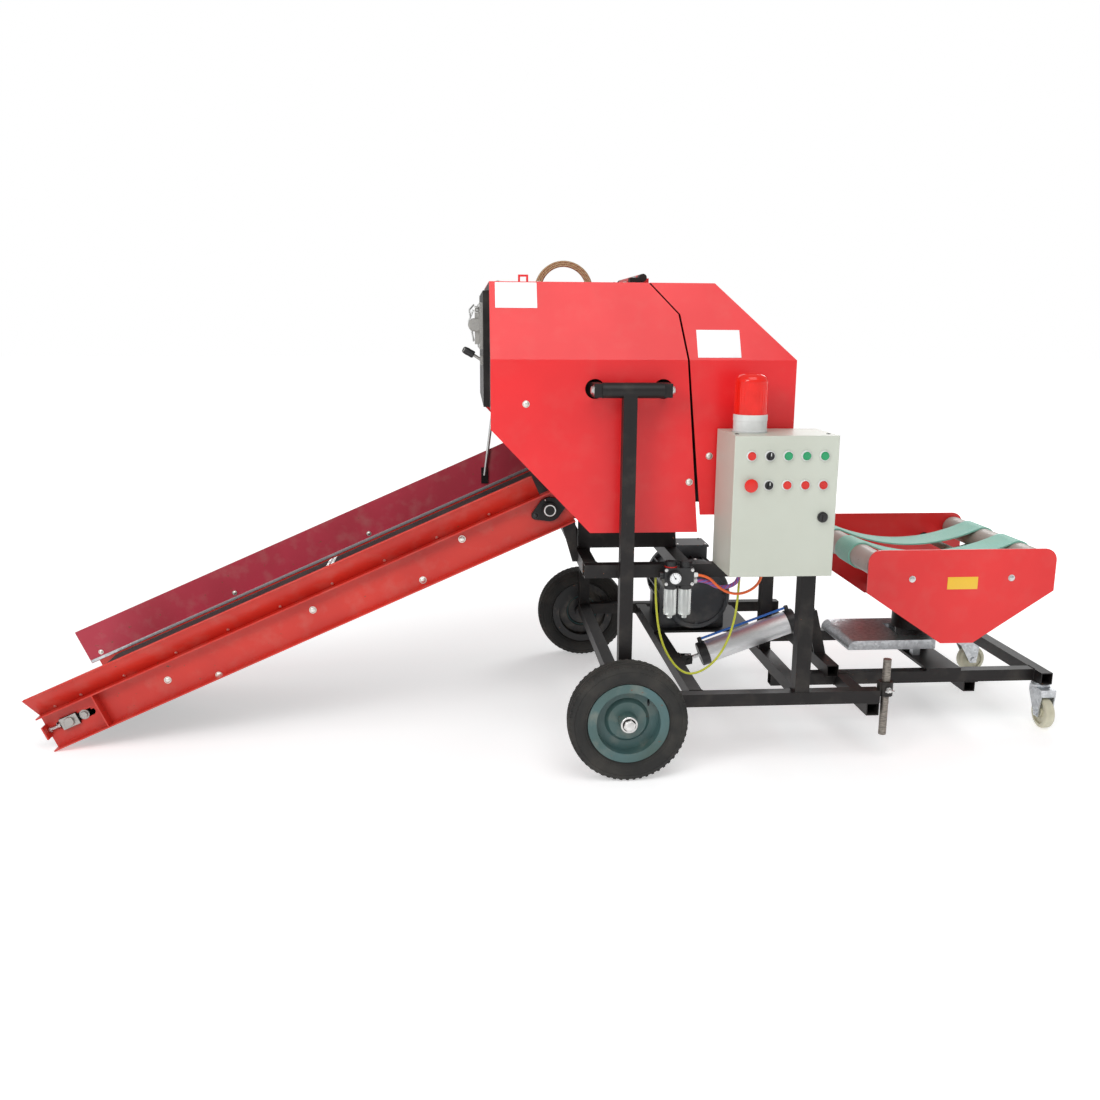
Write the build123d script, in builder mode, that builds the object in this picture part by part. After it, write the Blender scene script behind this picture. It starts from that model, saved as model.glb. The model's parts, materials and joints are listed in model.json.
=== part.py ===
"""Stationary silage round baler with a feed conveyor and a bale wrapping table.

Millimetres, +Z up, +X from the feed conveyor to the wrapping table, +Y to the far side.
Sizes are measured from the middle of the axle; at() moves them into the part's frame,
whose origin is the middle of the footprint.
"""
import os
from math import acos, asin, atan2, cos, radians, sin, tan

from build123d import *

os.makedirs("parts", exist_ok=True)

# Place of the axle's middle in the part's frame
AXLE_X = 171.4
AXLE_Y = 16.75
SIDES = (-1, 1)

# Road wheels
WHEEL_D = 360.0
TYRE_W = 88.0
TRACK = 1241.0
RIM_SEAT_D = 203.0
RIM_FLANGE_D = 244.0
RIM_W = 70.0
HUB_D = 56.0
HUB_L = 84.0
STUB_D = 25.0
RUNNING_GAP = 0.05

# Square tube of the frame
TUBE = 40.0
WALL = 3.0
FRAME_W = 1120.0
FRAME_RISE = 11.0
RAIL_END = 798.0
FRONT_CROSS_X = 228.0
MID_CROSS_X = 560.0

# Wrapper frame under the table
LONGERON_Y = 250.0
LONGERON_START = 540.0
CASTER_BAR_X = 1476.0
CASTER_BAR_L = 632.0
TOP_TUBE_X = 735.0
TOP_TUBE_L = 620.0
CONNECTOR_X = 777.0
LOW_TUBE_X = 1238.0
LOW_TUBE_L = 510.0

# Upper frame
MID_BEAM_TOP = 630.0
MID_BEAM_START = -121.0
MID_BEAM_END = 320.0
CROSS_BEAM_X = (-101.0, 185.0)
ARM_Z = 1147.0
ARM_D = 45.0
ARM_START = -80.0
ARM_END = 98.0
CABINET_POST = 45.0
CABINET_POST_X = 549.0
REAR_POST_Y = -90.0
REAR_POST_TOP = 620.0

# Hood and gate
HOOD_W = 940.0
ROOF_W = 716.0
ROOF_LIP = 6.0
ROOF_Z = 1454.0
FOLD_Z = 1231.0
SHEET = 3.0
HOOD_FRONT = -397.0
HOOD_CORNER_Z = 1028.0
HOOD_BOTTOM = 718.0
HOOD_SLOPE_X = -101.0
SEAM = ((77.0, 1454.0), (161.0, 1362.0), (180.0, 1231.0), (226.0, 718.0))
SEAM_GAP = 6.0
GATE_ROOF_END = 278.0
GATE_REAR = 507.0
GATE_CORNER_Z = 960.0
GATE_BOTTOM = 771.0
GATE_BOTTOM_END = 330.0
LUG_HOLE_D = 58.0
HINGE_D = 24.0
HINGE_PIN_D = 12.0
HINGE_X = 80.0
HINGE_RISE = 19.0
HINGE_L = 400.0
HINGE_EYE_L = 40.0
TAB_X = -296.0
TAB_W = 30.0
TAB_H = 20.0
TAB_T = 6.0
PANEL_DEPTH = 18.0
PANEL_W = 690.0
PANEL_BOTTOM = 1085.0
PANEL_TOP = 1428.0

# Bale chamber
CHAMBER_X = 55.0
CHAMBER_Z = 1085.0
CHAMBER_W = 520.0
PLATE_T = 8.0
BALE_D = 550.0
ROLLER_D = 76.0
FRONT_ROLLERS = (86.0, 110.0, 134.0, 158.0, 182.0, 262.0, 288.0)
GATE_ROLLERS = (-45.0, -18.75, 7.5, 33.75, 60.0)
PLATE_FRONT = -330.0
PLATE_STEP_X = -115.0
PLATE_STEP_Z = 880.0
LUG_W = 24.0
LUG_H = 40.0
GATE_SPACERS = ((300.0, 900.0), (430.0, 1150.0))

# Feed conveyor
CONVEYOR_L = 1800.0
CONVEYOR_HEAD_X = -128.0
CONVEYOR_HEAD_Z = 725.0
CONVEYOR_W = 560.0
CHANNEL_H = 120.0
CHANNEL_FLANGE = 40.0
CHANNEL_T = 4.0
LIP_RISE = 72.0
LIP_OUT = 52.0
LIP_SHORT = 70.0
BOARD_RISE = 130.0
BOARD_START = -30.0
DRUM_D = 92.0
BELT_T = 6.0
BELT_W = 540.0
TAIL_DRUM_U = 78.0
HEAD_DRUM_END = 60.0
DRUM_RISE = 5.0
DRUM_SHAFT_D = 30.0
RIB_U = 188.0
SLOT_U0 = 42.0
SLOT_U1 = 150.0
SLOT_W = 26.0
DECK_END = 150.0
DECK_H = 37.0
BELT_GAP = 3.0
FLANGE_D = 76.0
FLANGE_EAR_D = 26.0
FLANGE_EAR_U = 48.0
FLANGE_T = 10.0
INSERT_D = 46.0
INSERT_L = 16.0
SHAFT_END = 8.0
SLIDER_L = 58.0
SLIDER_H = 38.0
TAKE_UP_D = 9.0
TAKE_UP_OUT = 14.0
TAKE_UP_TAB_T = 5.0
TAKE_UP_TAB_H = 44.0
TAKE_UP_PLAY = 0.5
STAY_D = 10.0
STAY_T = 8.0
STAY_IN = 155.0
STAY_RISE = 50.0
STAY_LEAN = 31.0
STAY_TAB_H = 30.0
STAY_FOOT_W = 24.0
STAY_FOOT_H = 58.0
HANGER_GAP = 6.0
HANGER_W = 45.0

# Wrapping table
TABLE_X = 1136.0
TABLE_L = 631.0
TABLE_W = 681.0
TABLE_TOP = 626.0
TABLE_SHOULDER = 485.0
TABLE_BOTTOM = 311.0
TABLE_FOOT_W = 110.0
TABLE_PLATE_T = 6.0
TABLE_ROUND = 40.0
TABLE_ROLLER_D = 80.0
TABLE_ROLLER_X = 276.0
TABLE_ROLLER_Z = 572.0
TABLE_BELT_T = 5.0
TABLE_BELT_W = 130.0
TABLE_BELT_Y = (-105.0, 145.0)
TABLE_SAG_TOP = 24.0
TABLE_SAG_LOW = 20.0
TIE_X = 167.0
TIE_Z = 530.0
HUB_FLANGE_D = 150.0
BEARING_D = 116.0
SPINDLE_D = 50.0
SPINDLE_UP = 30.0
HUB_GAP = 6.0
BASE_TUBE_X = 25.0
SEAT_W = 120.0
SEAT_T = 10.0
TIE_D = 25.0
ROLLER_END = 8.0
BELT_SLACK = 0.3

# Cabinet
CABINET_LEFT = 273.0
CABINET_W = 298.0
CABINET_H = 402.0
CABINET_BACK = -484.0
CABINET_DEPTH = 190.0
CABINET_WALL = 3.0
DOOR_T = 20.0
BUTTON_X = 321.0
BUTTON_PITCH = 52.0
BUTTON_COLUMNS = 5
BUTTON_ROWS = (894.0, 976.0)
BUTTON_D = 30.0
BUTTON_OUT = 16.0
BEZEL_T = 6.0
STOP_D = 38.0
LOCK_X = 533.0
LOCK_Z = 802.0
DOOR_SEAL = 0.5
GLAND_OFF = 60.0
GLAND_IN = 50.0
GLAND_D = 25.0
BEACON_X = 344.0
BEACON_BASE_H = 38.0
BEACON_D = 96.0
BEACON_H = 165.0
LENS_ROUND = 22.0

# Prop, casters, drives
PROP_X = 821.0
PROP_D = 25.0
PROP_BOTTOM = 82.0
PROP_TOP = 327.0
PROP_FOOT_D = 24.0
PROP_FOOT_L = 100.0
COLLAR_D = 45.0
COLLAR_H = 45.0
COLLAR_ARM = 24.0
CASTER_WHEEL_D = 104.0
CASTER_WHEEL_W = 32.0
CASTER_TREAD_R = 9.0
CASTER_WEB_IN = 7.0
CASTER_HUB_D = 32.0
CASTER_WEB_D = 76.0
CASTER_TRAIL = 33.0
CASTER_FORK_T = 4.0
CASTER_AXLE_D = 12.0
CASTER_HEAD_D = 56.0
CASTER_HEAD_H = 16.0
CASTER_PLAY = 0.3
CASTER_GAP = 6.0
CASTER_CROWN = 8.0
LEG_TOP = 22.0
LEG_FOOT = 13.0
CASTER_Y = 282.0
MOTOR_X = 359.0
MOTOR_D = 250.0
MOTOR_L = 370.0
MOTOR_START_Y = 85.0
MOTOR_FOOT_H = 7.0
MOTOR_BODY_D = 222.0
MOTOR_FINS = 20
FIN_T = 5.0
FIN_IN = 64.0
FAN_COVER_L = 70.0
FAN_COVER_T = 5.0
FAN_COVER_R = 22.0
GRILLE_RINGS = (42.0, 70.0, 98.0)
GRILLE_W = 11.0
GRILLE_SPOKES = 4
SHIELD_L = 46.0
BOX_LID_T = 8.0
BOX_LID_OUT = 5.0
SHAFT_D = 38.0
SHAFT_L = 45.0
FOOT_W = 230.0
FOOT_L = 50.0
FOOT_IN = 85.0
BOX_W = 120.0
BOX_RISE = 40.0
BASE_T = 8.0
BASE_IN = 15.0
CYLINDER_ANGLE = 20.0
CYLINDER_EYE = (280.0, 216.0)
CYLINDER_PIN_D = 12.0
CYLINDER_EYE_D = 32.0
CYLINDER_EYE_W = 16.0
CYLINDER_EAR_T = 7.0
PIN_PLAY = 0.6
EAR_HALF = 14.0
EAR_EDGE = 12.0
EAR_GAP = 0.5
EAR_BASE_W = 50.0
EAR_BASE_T = 6.0
PIN_END = 5.0
BARREL_START = 42.0
CYLINDER_PIN_L = 450.0
CYLINDER_D = 78.0
CYLINDER_L = 346.0
CYLINDER_Y = -160.0
CYLINDER_ROD_D = 20.0
COVER_TOP = 262.0
COVER_L = 312.0
COVER_PAST = 24.0
COVER_W = 282.0
COVER_SKIRT = 33.0
COVER_ROUND = 28.0
COVER_NOTCH = 85.0
COVER_LEG_IN = 30.0
COVER_LEG_X = 35.0
COVER_LEG_W = 26.0
COIL_R = 95.0
COIL_D = 30.0
COIL_X = -115.0
COIL_Y = 300.0
COIL_GAP = 5.0
TYING_Y = -250.0
TYING_Z = 1328.0
TYING_REEL_D = 36.0
LEVER_Z = 1222.0
LEVER_OUT = 58.0
LEVER_RISE = 32.0
LEVER_D = 9.0
GRIP_D = 20.0
HOUSING_H = 78.0

# Air unit and leads
AIR_UNIT_START = 112.0
AIR_UNIT_END = 200.0
AIR_UNIT_DEPTH = 44.0
AIR_UNIT_Z = 575.0
AIR_UNIT_TOP = 628.0
AIR_COLUMNS = (134.0, 178.0)
AIR_INLET_Z = 602.0
KNOB_D = 34.0
KNOB_H = 18.0
GAUGE_D = 40.0
GAUGE_T = 14.0
INLET_D = 22.0
INLET_L = 12.0
INLET_BORE = 13.2
BOWL_D = 38.0
BOWL_H = 91.0
DRAIN_D = 16.0
DRAIN_H = 12.0
EARTH_LEAD_D = 7.0
AIR_HOSE_D = 8.0
CABLE_BUNDLE_D = 12.0
LEAD_IN = 12.0
BEND_SHARE = 0.45

# Derived sizes
AXLE_Z = WHEEL_D / 2
FRAME_BOTTOM = AXLE_Z + FRAME_RISE
FRAME_TOP = FRAME_BOTTOM + TUBE
FRAME_Z = FRAME_BOTTOM + TUBE / 2
RAIL_Y = FRAME_W / 2 - TUBE / 2
INNER_W = FRAME_W - 2 * TUBE
LONGERON_Z = FRAME_BOTTOM - TUBE / 2
LOW_TUBE_Z = LONGERON_Z - TUBE
MID_BEAM_Y = RAIL_Y - TUBE
MID_BEAM_Z = MID_BEAM_TOP - TUBE / 2
CABINET_FRONT = CABINET_BACK - CABINET_DEPTH
CABINET_BOTTOM = MID_BEAM_TOP
CABINET_TOP = CABINET_BOTTOM + CABINET_H
CABINET_RIGHT = CABINET_LEFT + CABINET_W
DOOR_FACE = CABINET_FRONT - DOOR_T
BEACON_Y = CABINET_BACK - CABINET_DEPTH / 2
LENS_Z = CABINET_TOP + BEACON_BASE_H
ROLLER_R = BALE_D / 2 + ROLLER_D / 2
ROOF_HALF = ROOF_W / 2 - ROOF_LIP
PLATE_TOP = ROOF_Z - SHEET
COIL_FLOOR = ROOF_Z - COIL_R - COIL_D / 2 - COIL_GAP
CONVEYOR_SLOPE = asin(CONVEYOR_HEAD_Z / CONVEYOR_L)
CONVEYOR_TIP_X = CONVEYOR_HEAD_X - CONVEYOR_L * cos(CONVEYOR_SLOPE)
BELT_WAY = (cos(CONVEYOR_SLOPE), 0, sin(CONVEYOR_SLOPE))
DRUM_N = CHANNEL_H / 2 + DRUM_RISE
HEAD_DRUM_U = CONVEYOR_L - HEAD_DRUM_END
LIP_END = CONVEYOR_L - LIP_SHORT
HINGE_Z = ROOF_Z + HINGE_RISE
PANEL_X = HOOD_FRONT - PANEL_DEPTH
COVER_END = TABLE_X + COVER_PAST
COVER_START = COVER_END - COVER_L
MOTOR_Z = FRAME_TOP + BASE_T + MOTOR_D / 2 + MOTOR_FOOT_H
MOTOR_END_Y = MOTOR_START_Y + MOTOR_L
CASTER_TOP = LONGERON_Z - TUBE / 2
CASTER_PLACES = {"near": (-CASTER_Y, 0.0, -1.0), "far": (CASTER_Y, 1.0, 0.0)}
HOUSING_TOP = FRAME_BOTTOM + HOUSING_H
LEAD_Y = -RAIL_Y + LEAD_IN
AIR_FACE_Y = -(MID_BEAM_Y + TUBE / 2)
AIR_AXIS_Y = AIR_FACE_Y - AIR_UNIT_DEPTH / 2 - 2.0


def at(x, y, z):
    """Point of the part's frame for a point measured from the axle's middle."""
    return (x + AXLE_X, y + AXLE_Y, z)


def side_plane(y, x=0.0, z=0.0):
    """Side-view plane at y: local x is +X, local y is +Z, extrusion runs to -Y."""
    return Plane(origin=at(x, y, z), x_dir=(1, 0, 0), z_dir=(0, -1, 0))


def square_tube(start, end, size=TUBE, wall=WALL):
    """Hollow square tube between two points of its centre line."""
    run = Vector(*end) - Vector(*start)
    across = (0, 1, 0) if abs(run.X) > 1e-6 else (1, 0, 0)
    with BuildSketch(Plane(origin=at(*start), x_dir=across, z_dir=run)) as section:
        Rectangle(size, size)
        Rectangle(size - 2 * wall, size - 2 * wall, mode=Mode.SUBTRACT)
    extrude(section.sketch, amount=run.length)


def round_bar(start, end, diameter, bore=0.0, mode=Mode.ADD):
    """Round bar or round tube between two points of its centre line."""
    run = Vector(*end) - Vector(*start)
    with BuildSketch(Plane(origin=at(*start), z_dir=run)) as section:
        Circle(diameter / 2)
        if bore > 0:
            Circle(bore / 2, mode=Mode.SUBTRACT)
    extrude(section.sketch, amount=run.length, mode=mode)


def side_plate(points, y0, y1, mode=Mode.ADD):
    """Flat plate from y0 to y1 whose outline is drawn in side view as (x, z)."""
    with BuildSketch(side_plane(y1)) as outline:
        with BuildLine():
            Polyline(points, close=True)
        make_face()
    extrude(outline.sketch, amount=y1 - y0, mode=mode)


def block(low, high, mode=Mode.ADD):
    """Plain block between its two opposite corners."""
    size = Vector(*high) - Vector(*low)
    with BuildSketch(Plane(origin=at(*low))) as foot:
        Rectangle(size.X, size.Y, align=(Align.MIN, Align.MIN))
    extrude(foot.sketch, amount=size.Z, mode=mode)


def on_belt(u, n):
    """Side-view point (x, z) at u along the conveyor and n above its underside."""
    x = CONVEYOR_TIP_X + u * cos(CONVEYOR_SLOPE) - n * sin(CONVEYOR_SLOPE)
    return (x, u * sin(CONVEYOR_SLOPE) + n * cos(CONVEYOR_SLOPE))


def belt_plate(points, y0, y1, mode=Mode.ADD):
    """Plate from y0 to y1 whose outline is drawn along the conveyor as (u, n)."""
    side_plate([on_belt(u, n) for u, n in points], y0, y1, mode)


def belt_strip(u0, u1, n0, n1):
    """Rectangle (u, n) along the conveyor."""
    return [(u0, n0), (u1, n0), (u1, n1), (u0, n1)]


def on_circle(angle):
    """Side-view point (x, z) of the chamber's roller circle at an angle from +X."""
    turn = radians(angle)
    return (CHAMBER_X + ROLLER_R * cos(turn), CHAMBER_Z + ROLLER_R * sin(turn))


def hood_section(inset, top_inset):
    """Outline (y, z) of the hood seen from the front, its sides and top moved inwards."""
    lean = atan2((HOOD_W - ROOF_W) / 2, ROOF_Z - FOLD_Z)
    wide = HOOD_W / 2 - inset
    top = ROOF_Z - top_inset
    fold = FOLD_Z - inset * tan(lean / 2)
    narrow = wide - (top - fold) * tan(lean)
    return [(-wide, 0), (-wide, fold), (-narrow, top), (narrow, top), (wide, fold), (wide, 0)]


def hood_prism(inset, top_inset, x0, x1, mode=Mode.ADD):
    """Prism of the hood's front outline from x0 to x1."""
    plane = Plane(origin=at(x0, 0, 0), x_dir=(0, 1, 0), z_dir=(1, 0, 0))
    with BuildSketch(plane) as outline:
        with BuildLine():
            Polyline(hood_section(inset, top_inset), close=True)
        make_face()
    extrude(outline.sketch, amount=x1 - x0, mode=mode)


def along_cylinder(distance):
    """Point on the air cylinder's axis at a distance from its rear pin."""
    turn = radians(CYLINDER_ANGLE)
    return (CYLINDER_EYE[0] + distance * cos(turn), CYLINDER_Y, CYLINDER_EYE[1] + distance * sin(turn))


def bend_radii(points):
    """Radius of each bend of a lead, as large as its two runs allow."""
    radii = []
    for before, corner, after in zip(points, points[1:], points[2:]):
        into = Vector(*corner) - Vector(*before)
        out = Vector(*after) - Vector(*corner)
        turn = acos(into.normalized().dot(out.normalized()))
        radii.append(BEND_SHARE * min(into.length, out.length) / tan(turn / 2))
    return radii


def lead(points, diameter):
    """Round cable or hose along straight runs with wide bends between them."""
    with BuildLine() as route:
        FilletPolyline(*[at(*point) for point in points], radius=bend_radii(points))
    start = route.line @ 0
    with BuildSketch(Plane(origin=start, z_dir=route.line % 0)) as section:
        Circle(diameter / 2)
    sweep(section.sketch, path=route.line)


def road_wheel_profile(side):
    """Plane of a road wheel's half section: local x is the radius, local y the way outwards."""
    return Plane(origin=at(0, side * TRACK / 2, AXLE_Z), x_dir=(1, 0, 0), z_dir=(0, 0, side))


def wheel_axis(side):
    """Turning axis of a road wheel."""
    return Axis(at(0, side * TRACK / 2, AXLE_Z), (0, 1, 0))


def tyre_profile():
    """Closed half section (radius, across) of a road tyre."""
    outer = WHEEL_D / 2
    half = TYRE_W / 2
    bead = RIM_SEAT_D / 2 + 0.3
    flange = RIM_FLANGE_D / 2
    return [
        (bead, -RIM_W / 2 + 6.5),
        (flange, -RIM_W / 2 + 6.5),
        (flange + 3, -half + 3),
        (outer - 32, -half),
        (outer - 12, -half + 4),
        (outer - 3, -half + 14),
        (outer, -half + 30),
        (outer, half - 30),
        (outer - 3, half - 14),
        (outer - 12, half - 4),
        (outer - 32, half),
        (flange + 3, half - 3),
        (flange, RIM_W / 2 - 6.5),
        (bead, RIM_W / 2 - 6.5),
    ]


def rim_profile():
    """Closed half section (radius, outwards) of a pressed rim with its hub."""
    seat = RIM_SEAT_D / 2
    flange = RIM_FLANGE_D / 2 - 0.5
    edge = RIM_W / 2
    hub = HUB_D / 2
    bore = STUB_D / 2 + RUNNING_GAP
    return [
        (bore, -HUB_L / 2),
        (hub, -HUB_L / 2),
        (hub, 2),
        (hub + 26, 2),
        (hub + 36, -10),
        (seat - 10, -10),
        (seat - 6, -edge + 8),
        (seat - 6, -edge),
        (flange, -edge),
        (flange, -edge + 6),
        (seat, -edge + 6),
        (seat, edge - 6),
        (flange, edge - 6),
        (flange, edge),
        (seat - 6, edge),
        (seat - 6, -4),
        (hub + 39, -4),
        (hub + 29, 8),
        (hub, 8),
        (hub, HUB_L / 2),
        (bore, HUB_L / 2),
    ]


# Road wheels
with BuildPart() as near_tyre:
    with BuildSketch(road_wheel_profile(-1)):
        with BuildLine():
            Polyline(tyre_profile(), close=True)
        make_face()
    revolve(axis=wheel_axis(-1))
near_tyre.part.label = "near_tyre"
export_step(near_tyre.part, "parts/near_tyre.step")

with BuildPart() as near_rim:
    with BuildSketch(road_wheel_profile(-1)):
        with BuildLine():
            Polyline(rim_profile(), close=True)
        make_face()
    revolve(axis=wheel_axis(-1))
near_rim.part.label = "near_rim"
export_step(near_rim.part, "parts/near_rim.step")

with BuildPart() as far_tyre:
    with BuildSketch(road_wheel_profile(1)):
        with BuildLine():
            Polyline(tyre_profile(), close=True)
        make_face()
    revolve(axis=wheel_axis(1))
far_tyre.part.label = "far_tyre"
export_step(far_tyre.part, "parts/far_tyre.step")

with BuildPart() as far_rim:
    with BuildSketch(road_wheel_profile(1)):
        with BuildLine():
            Polyline(rim_profile(), close=True)
        make_face()
    revolve(axis=wheel_axis(1))
far_rim.part.label = "far_rim"
export_step(far_rim.part, "parts/far_rim.step")

# Lower frame
with BuildPart() as axle_beam:
    square_tube((0, -FRAME_W / 2, FRAME_Z), (0, FRAME_W / 2, FRAME_Z))
    for side in SIDES:
        inner = side * (FRAME_W / 2 - 90)
        outer = side * (TRACK / 2 + HUB_L / 2 + 14)
        round_bar((0, inner, AXLE_Z), (0, outer, AXLE_Z), STUB_D)
        round_bar(
            (0, side * (TRACK / 2 + HUB_L / 2 + 1), AXLE_Z),
            (0, side * (TRACK / 2 + HUB_L / 2 + 5), AXLE_Z),
            STUB_D + 15,
        )
axle_beam.part.label = "axle_beam"
export_step(axle_beam.part, "parts/axle_beam.step")

with BuildPart() as side_rails:
    for side in SIDES:
        square_tube((TUBE / 2, side * RAIL_Y, FRAME_Z), (RAIL_END, side * RAIL_Y, FRAME_Z))
side_rails.part.label = "side_rails"
export_step(side_rails.part, "parts/side_rails.step")

with BuildPart() as cross_members:
    for x in (FRONT_CROSS_X, MID_CROSS_X):
        square_tube((x, -INNER_W / 2, FRAME_Z), (x, INNER_W / 2, FRAME_Z))
    square_tube((TOP_TUBE_X, -TOP_TUBE_L / 2, FRAME_Z), (TOP_TUBE_X, TOP_TUBE_L / 2, FRAME_Z))
    for x in CROSS_BEAM_X:
        beam_end = MID_BEAM_Y - TUBE / 2
        square_tube((x, -beam_end, MID_BEAM_Z), (x, beam_end, MID_BEAM_Z))
cross_members.part.label = "cross_members"
export_step(cross_members.part, "parts/cross_members.step")

with BuildPart() as longerons:
    for side in SIDES:
        y = side * LONGERON_Y
        square_tube((LONGERON_START, y, LONGERON_Z), (CASTER_BAR_X - TUBE / 2, y, LONGERON_Z))
longerons.part.label = "longerons"
export_step(longerons.part, "parts/longerons.step")

with BuildPart() as tie_tubes:
    for side in SIDES:
        square_tube(
            (CONNECTOR_X, side * (LONGERON_Y + TUBE / 2), LONGERON_Z),
            (CONNECTOR_X, side * FRAME_W / 2, LONGERON_Z),
        )
    square_tube((LOW_TUBE_X, -LOW_TUBE_L / 2, LOW_TUBE_Z), (LOW_TUBE_X, LOW_TUBE_L / 2, LOW_TUBE_Z))
    bar_end = CASTER_BAR_L / 2
    square_tube((CASTER_BAR_X, -bar_end, LONGERON_Z), (CASTER_BAR_X, bar_end, LONGERON_Z))
tie_tubes.part.label = "tie_tubes"
export_step(tie_tubes.part, "parts/tie_tubes.step")

# Upper frame
with BuildPart() as support_posts:
    for side in SIDES:
        square_tube((0, side * RAIL_Y, FRAME_TOP), (0, side * RAIL_Y, ARM_Z))
        round_bar((ARM_START, side * RAIL_Y, ARM_Z), (ARM_END, side * RAIL_Y, ARM_Z), ARM_D)
support_posts.part.label = "support_posts"
export_step(support_posts.part, "parts/support_posts.step")

with BuildPart() as mid_beams:
    for side in SIDES:
        y = side * MID_BEAM_Y
        square_tube((MID_BEAM_START, y, MID_BEAM_Z), (MID_BEAM_END, y, MID_BEAM_Z))
mid_beams.part.label = "mid_beams"
export_step(mid_beams.part, "parts/mid_beams.step")

with BuildPart() as cabinet_posts:
    square_tube(
        (CABINET_POST_X, -RAIL_Y, FRAME_TOP),
        (CABINET_POST_X, -RAIL_Y, CABINET_BOTTOM),
        CABINET_POST,
    )
    square_tube((MID_CROSS_X, REAR_POST_Y, FRAME_TOP), (MID_CROSS_X, REAR_POST_Y, REAR_POST_TOP))
cabinet_posts.part.label = "cabinet_posts"
export_step(cabinet_posts.part, "parts/cabinet_posts.step")

# Bale chamber
with BuildPart() as chamber_plates:
    seam = [(x - PLATE_T - 6, min(z, PLATE_TOP)) for x, z in SEAM[:3]]
    foot = SEAM[3][0] - PLATE_T - 14
    outline = [(PLATE_FRONT, PLATE_TOP)] + seam
    outline += [(foot, MID_BEAM_TOP), (PLATE_STEP_X, MID_BEAM_TOP)]
    outline += [(PLATE_STEP_X, PLATE_STEP_Z), (PLATE_FRONT, PLATE_STEP_Z + 200)]
    for side in SIDES:
        inner = side * CHAMBER_W / 2
        outer = side * (CHAMBER_W / 2 + PLATE_T)
        side_plate(outline, min(inner, outer), max(inner, outer))
        for x in (ARM_START - LUG_W / 2, ARM_END + LUG_W / 2):
            end = side * (RAIL_Y + 16)
            block(
                (x - LUG_W / 2, min(outer, end), ARM_Z - LUG_H / 2),
                (x + LUG_W / 2, max(outer, end), ARM_Z + LUG_H / 2),
            )
chamber_plates.part.label = "chamber_plates"
export_step(chamber_plates.part, "parts/chamber_plates.step")

with BuildPart() as front_rollers:
    for angle in FRONT_ROLLERS:
        x, z = on_circle(angle)
        round_bar((x, -CHAMBER_W / 2, z), (x, CHAMBER_W / 2, z), ROLLER_D)
front_rollers.part.label = "front_rollers"
export_step(front_rollers.part, "parts/front_rollers.step")

# Front hood
with BuildPart() as hood_covers:
    hood_prism(0, 0, HOOD_FRONT, SEAM[3][0])
    hood_prism(SHEET, SHEET, HOOD_FRONT, SEAM[3][0], Mode.SUBTRACT)
    block((HOOD_FRONT, -ROOF_HALF, FOLD_Z), (SEAM[3][0], ROOF_HALF, ROOF_Z), Mode.SUBTRACT)
    outline = [(HOOD_FRONT, ROOF_Z)] + list(SEAM)
    outline += [(HOOD_SLOPE_X, HOOD_BOTTOM), (HOOD_FRONT, HOOD_CORNER_Z)]
    side_plate(outline, -HOOD_W / 2, HOOD_W / 2, Mode.INTERSECT)
    for x in (ARM_START - LUG_W / 2, ARM_END + LUG_W / 2):
        round_bar((x, -HOOD_W, ARM_Z), (x, HOOD_W, ARM_Z), LUG_HOLE_D, mode=Mode.SUBTRACT)
hood_covers.part.label = "hood_covers"
export_step(hood_covers.part, "parts/hood_covers.step")

with BuildPart() as hood_roof:
    slot_x0 = COIL_X - COIL_R - COIL_D / 2 - 5
    slot_x1 = COIL_X + COIL_R + COIL_D / 2 + 5
    slot_y0 = COIL_Y - COIL_D / 2 - 5
    slot_y1 = COIL_Y + COIL_D / 2 + 5
    block((HOOD_FRONT, -ROOF_HALF, ROOF_Z - SHEET), (SEAM[0][0], ROOF_HALF, ROOF_Z))
    block(
        (slot_x0 - SHEET, slot_y0 - SHEET, COIL_FLOOR - SHEET),
        (slot_x1 + SHEET, slot_y1 + SHEET, ROOF_Z),
    )
    block((slot_x0, slot_y0, COIL_FLOOR), (slot_x1, slot_y1, ROOF_Z), Mode.SUBTRACT)
    tab_x0 = TAB_X - TAB_W / 2
    tab_x1 = TAB_X + TAB_W / 2
    block((tab_x0, -ROOF_HALF, ROOF_Z), (tab_x1, TAB_T - ROOF_HALF, ROOF_Z + TAB_H))
    block(
        (tab_x0 + TAB_T, -ROOF_HALF, ROOF_Z),
        (tab_x1 - TAB_T, TAB_T - ROOF_HALF, ROOF_Z + TAB_H - TAB_T),
        Mode.SUBTRACT,
    )
hood_roof.part.label = "hood_roof"
export_step(hood_roof.part, "parts/hood_roof.step")

with BuildPart() as front_panel:
    plane = Plane(origin=at(HOOD_FRONT, 0, 0), x_dir=(0, 1, 0), z_dir=(1, 0, 0))
    with BuildSketch(plane):
        with BuildLine():
            Polyline(hood_section(SHEET, SHEET), close=True)
        make_face()
        with Locations((0, 0)):
            Rectangle(HOOD_W, 2 * PANEL_BOTTOM, mode=Mode.SUBTRACT)
    extrude(amount=SHEET)
    block((PANEL_X, -PANEL_W / 2, PANEL_BOTTOM), (HOOD_FRONT, PANEL_W / 2, PANEL_TOP))
    block(
        (PANEL_X + SHEET, SHEET - PANEL_W / 2, PANEL_BOTTOM + SHEET),
        (HOOD_FRONT + SHEET, PANEL_W / 2 - SHEET, PANEL_TOP - SHEET),
        Mode.SUBTRACT,
    )
front_panel.part.label = "front_panel"
export_step(front_panel.part, "parts/front_panel.step")

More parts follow.
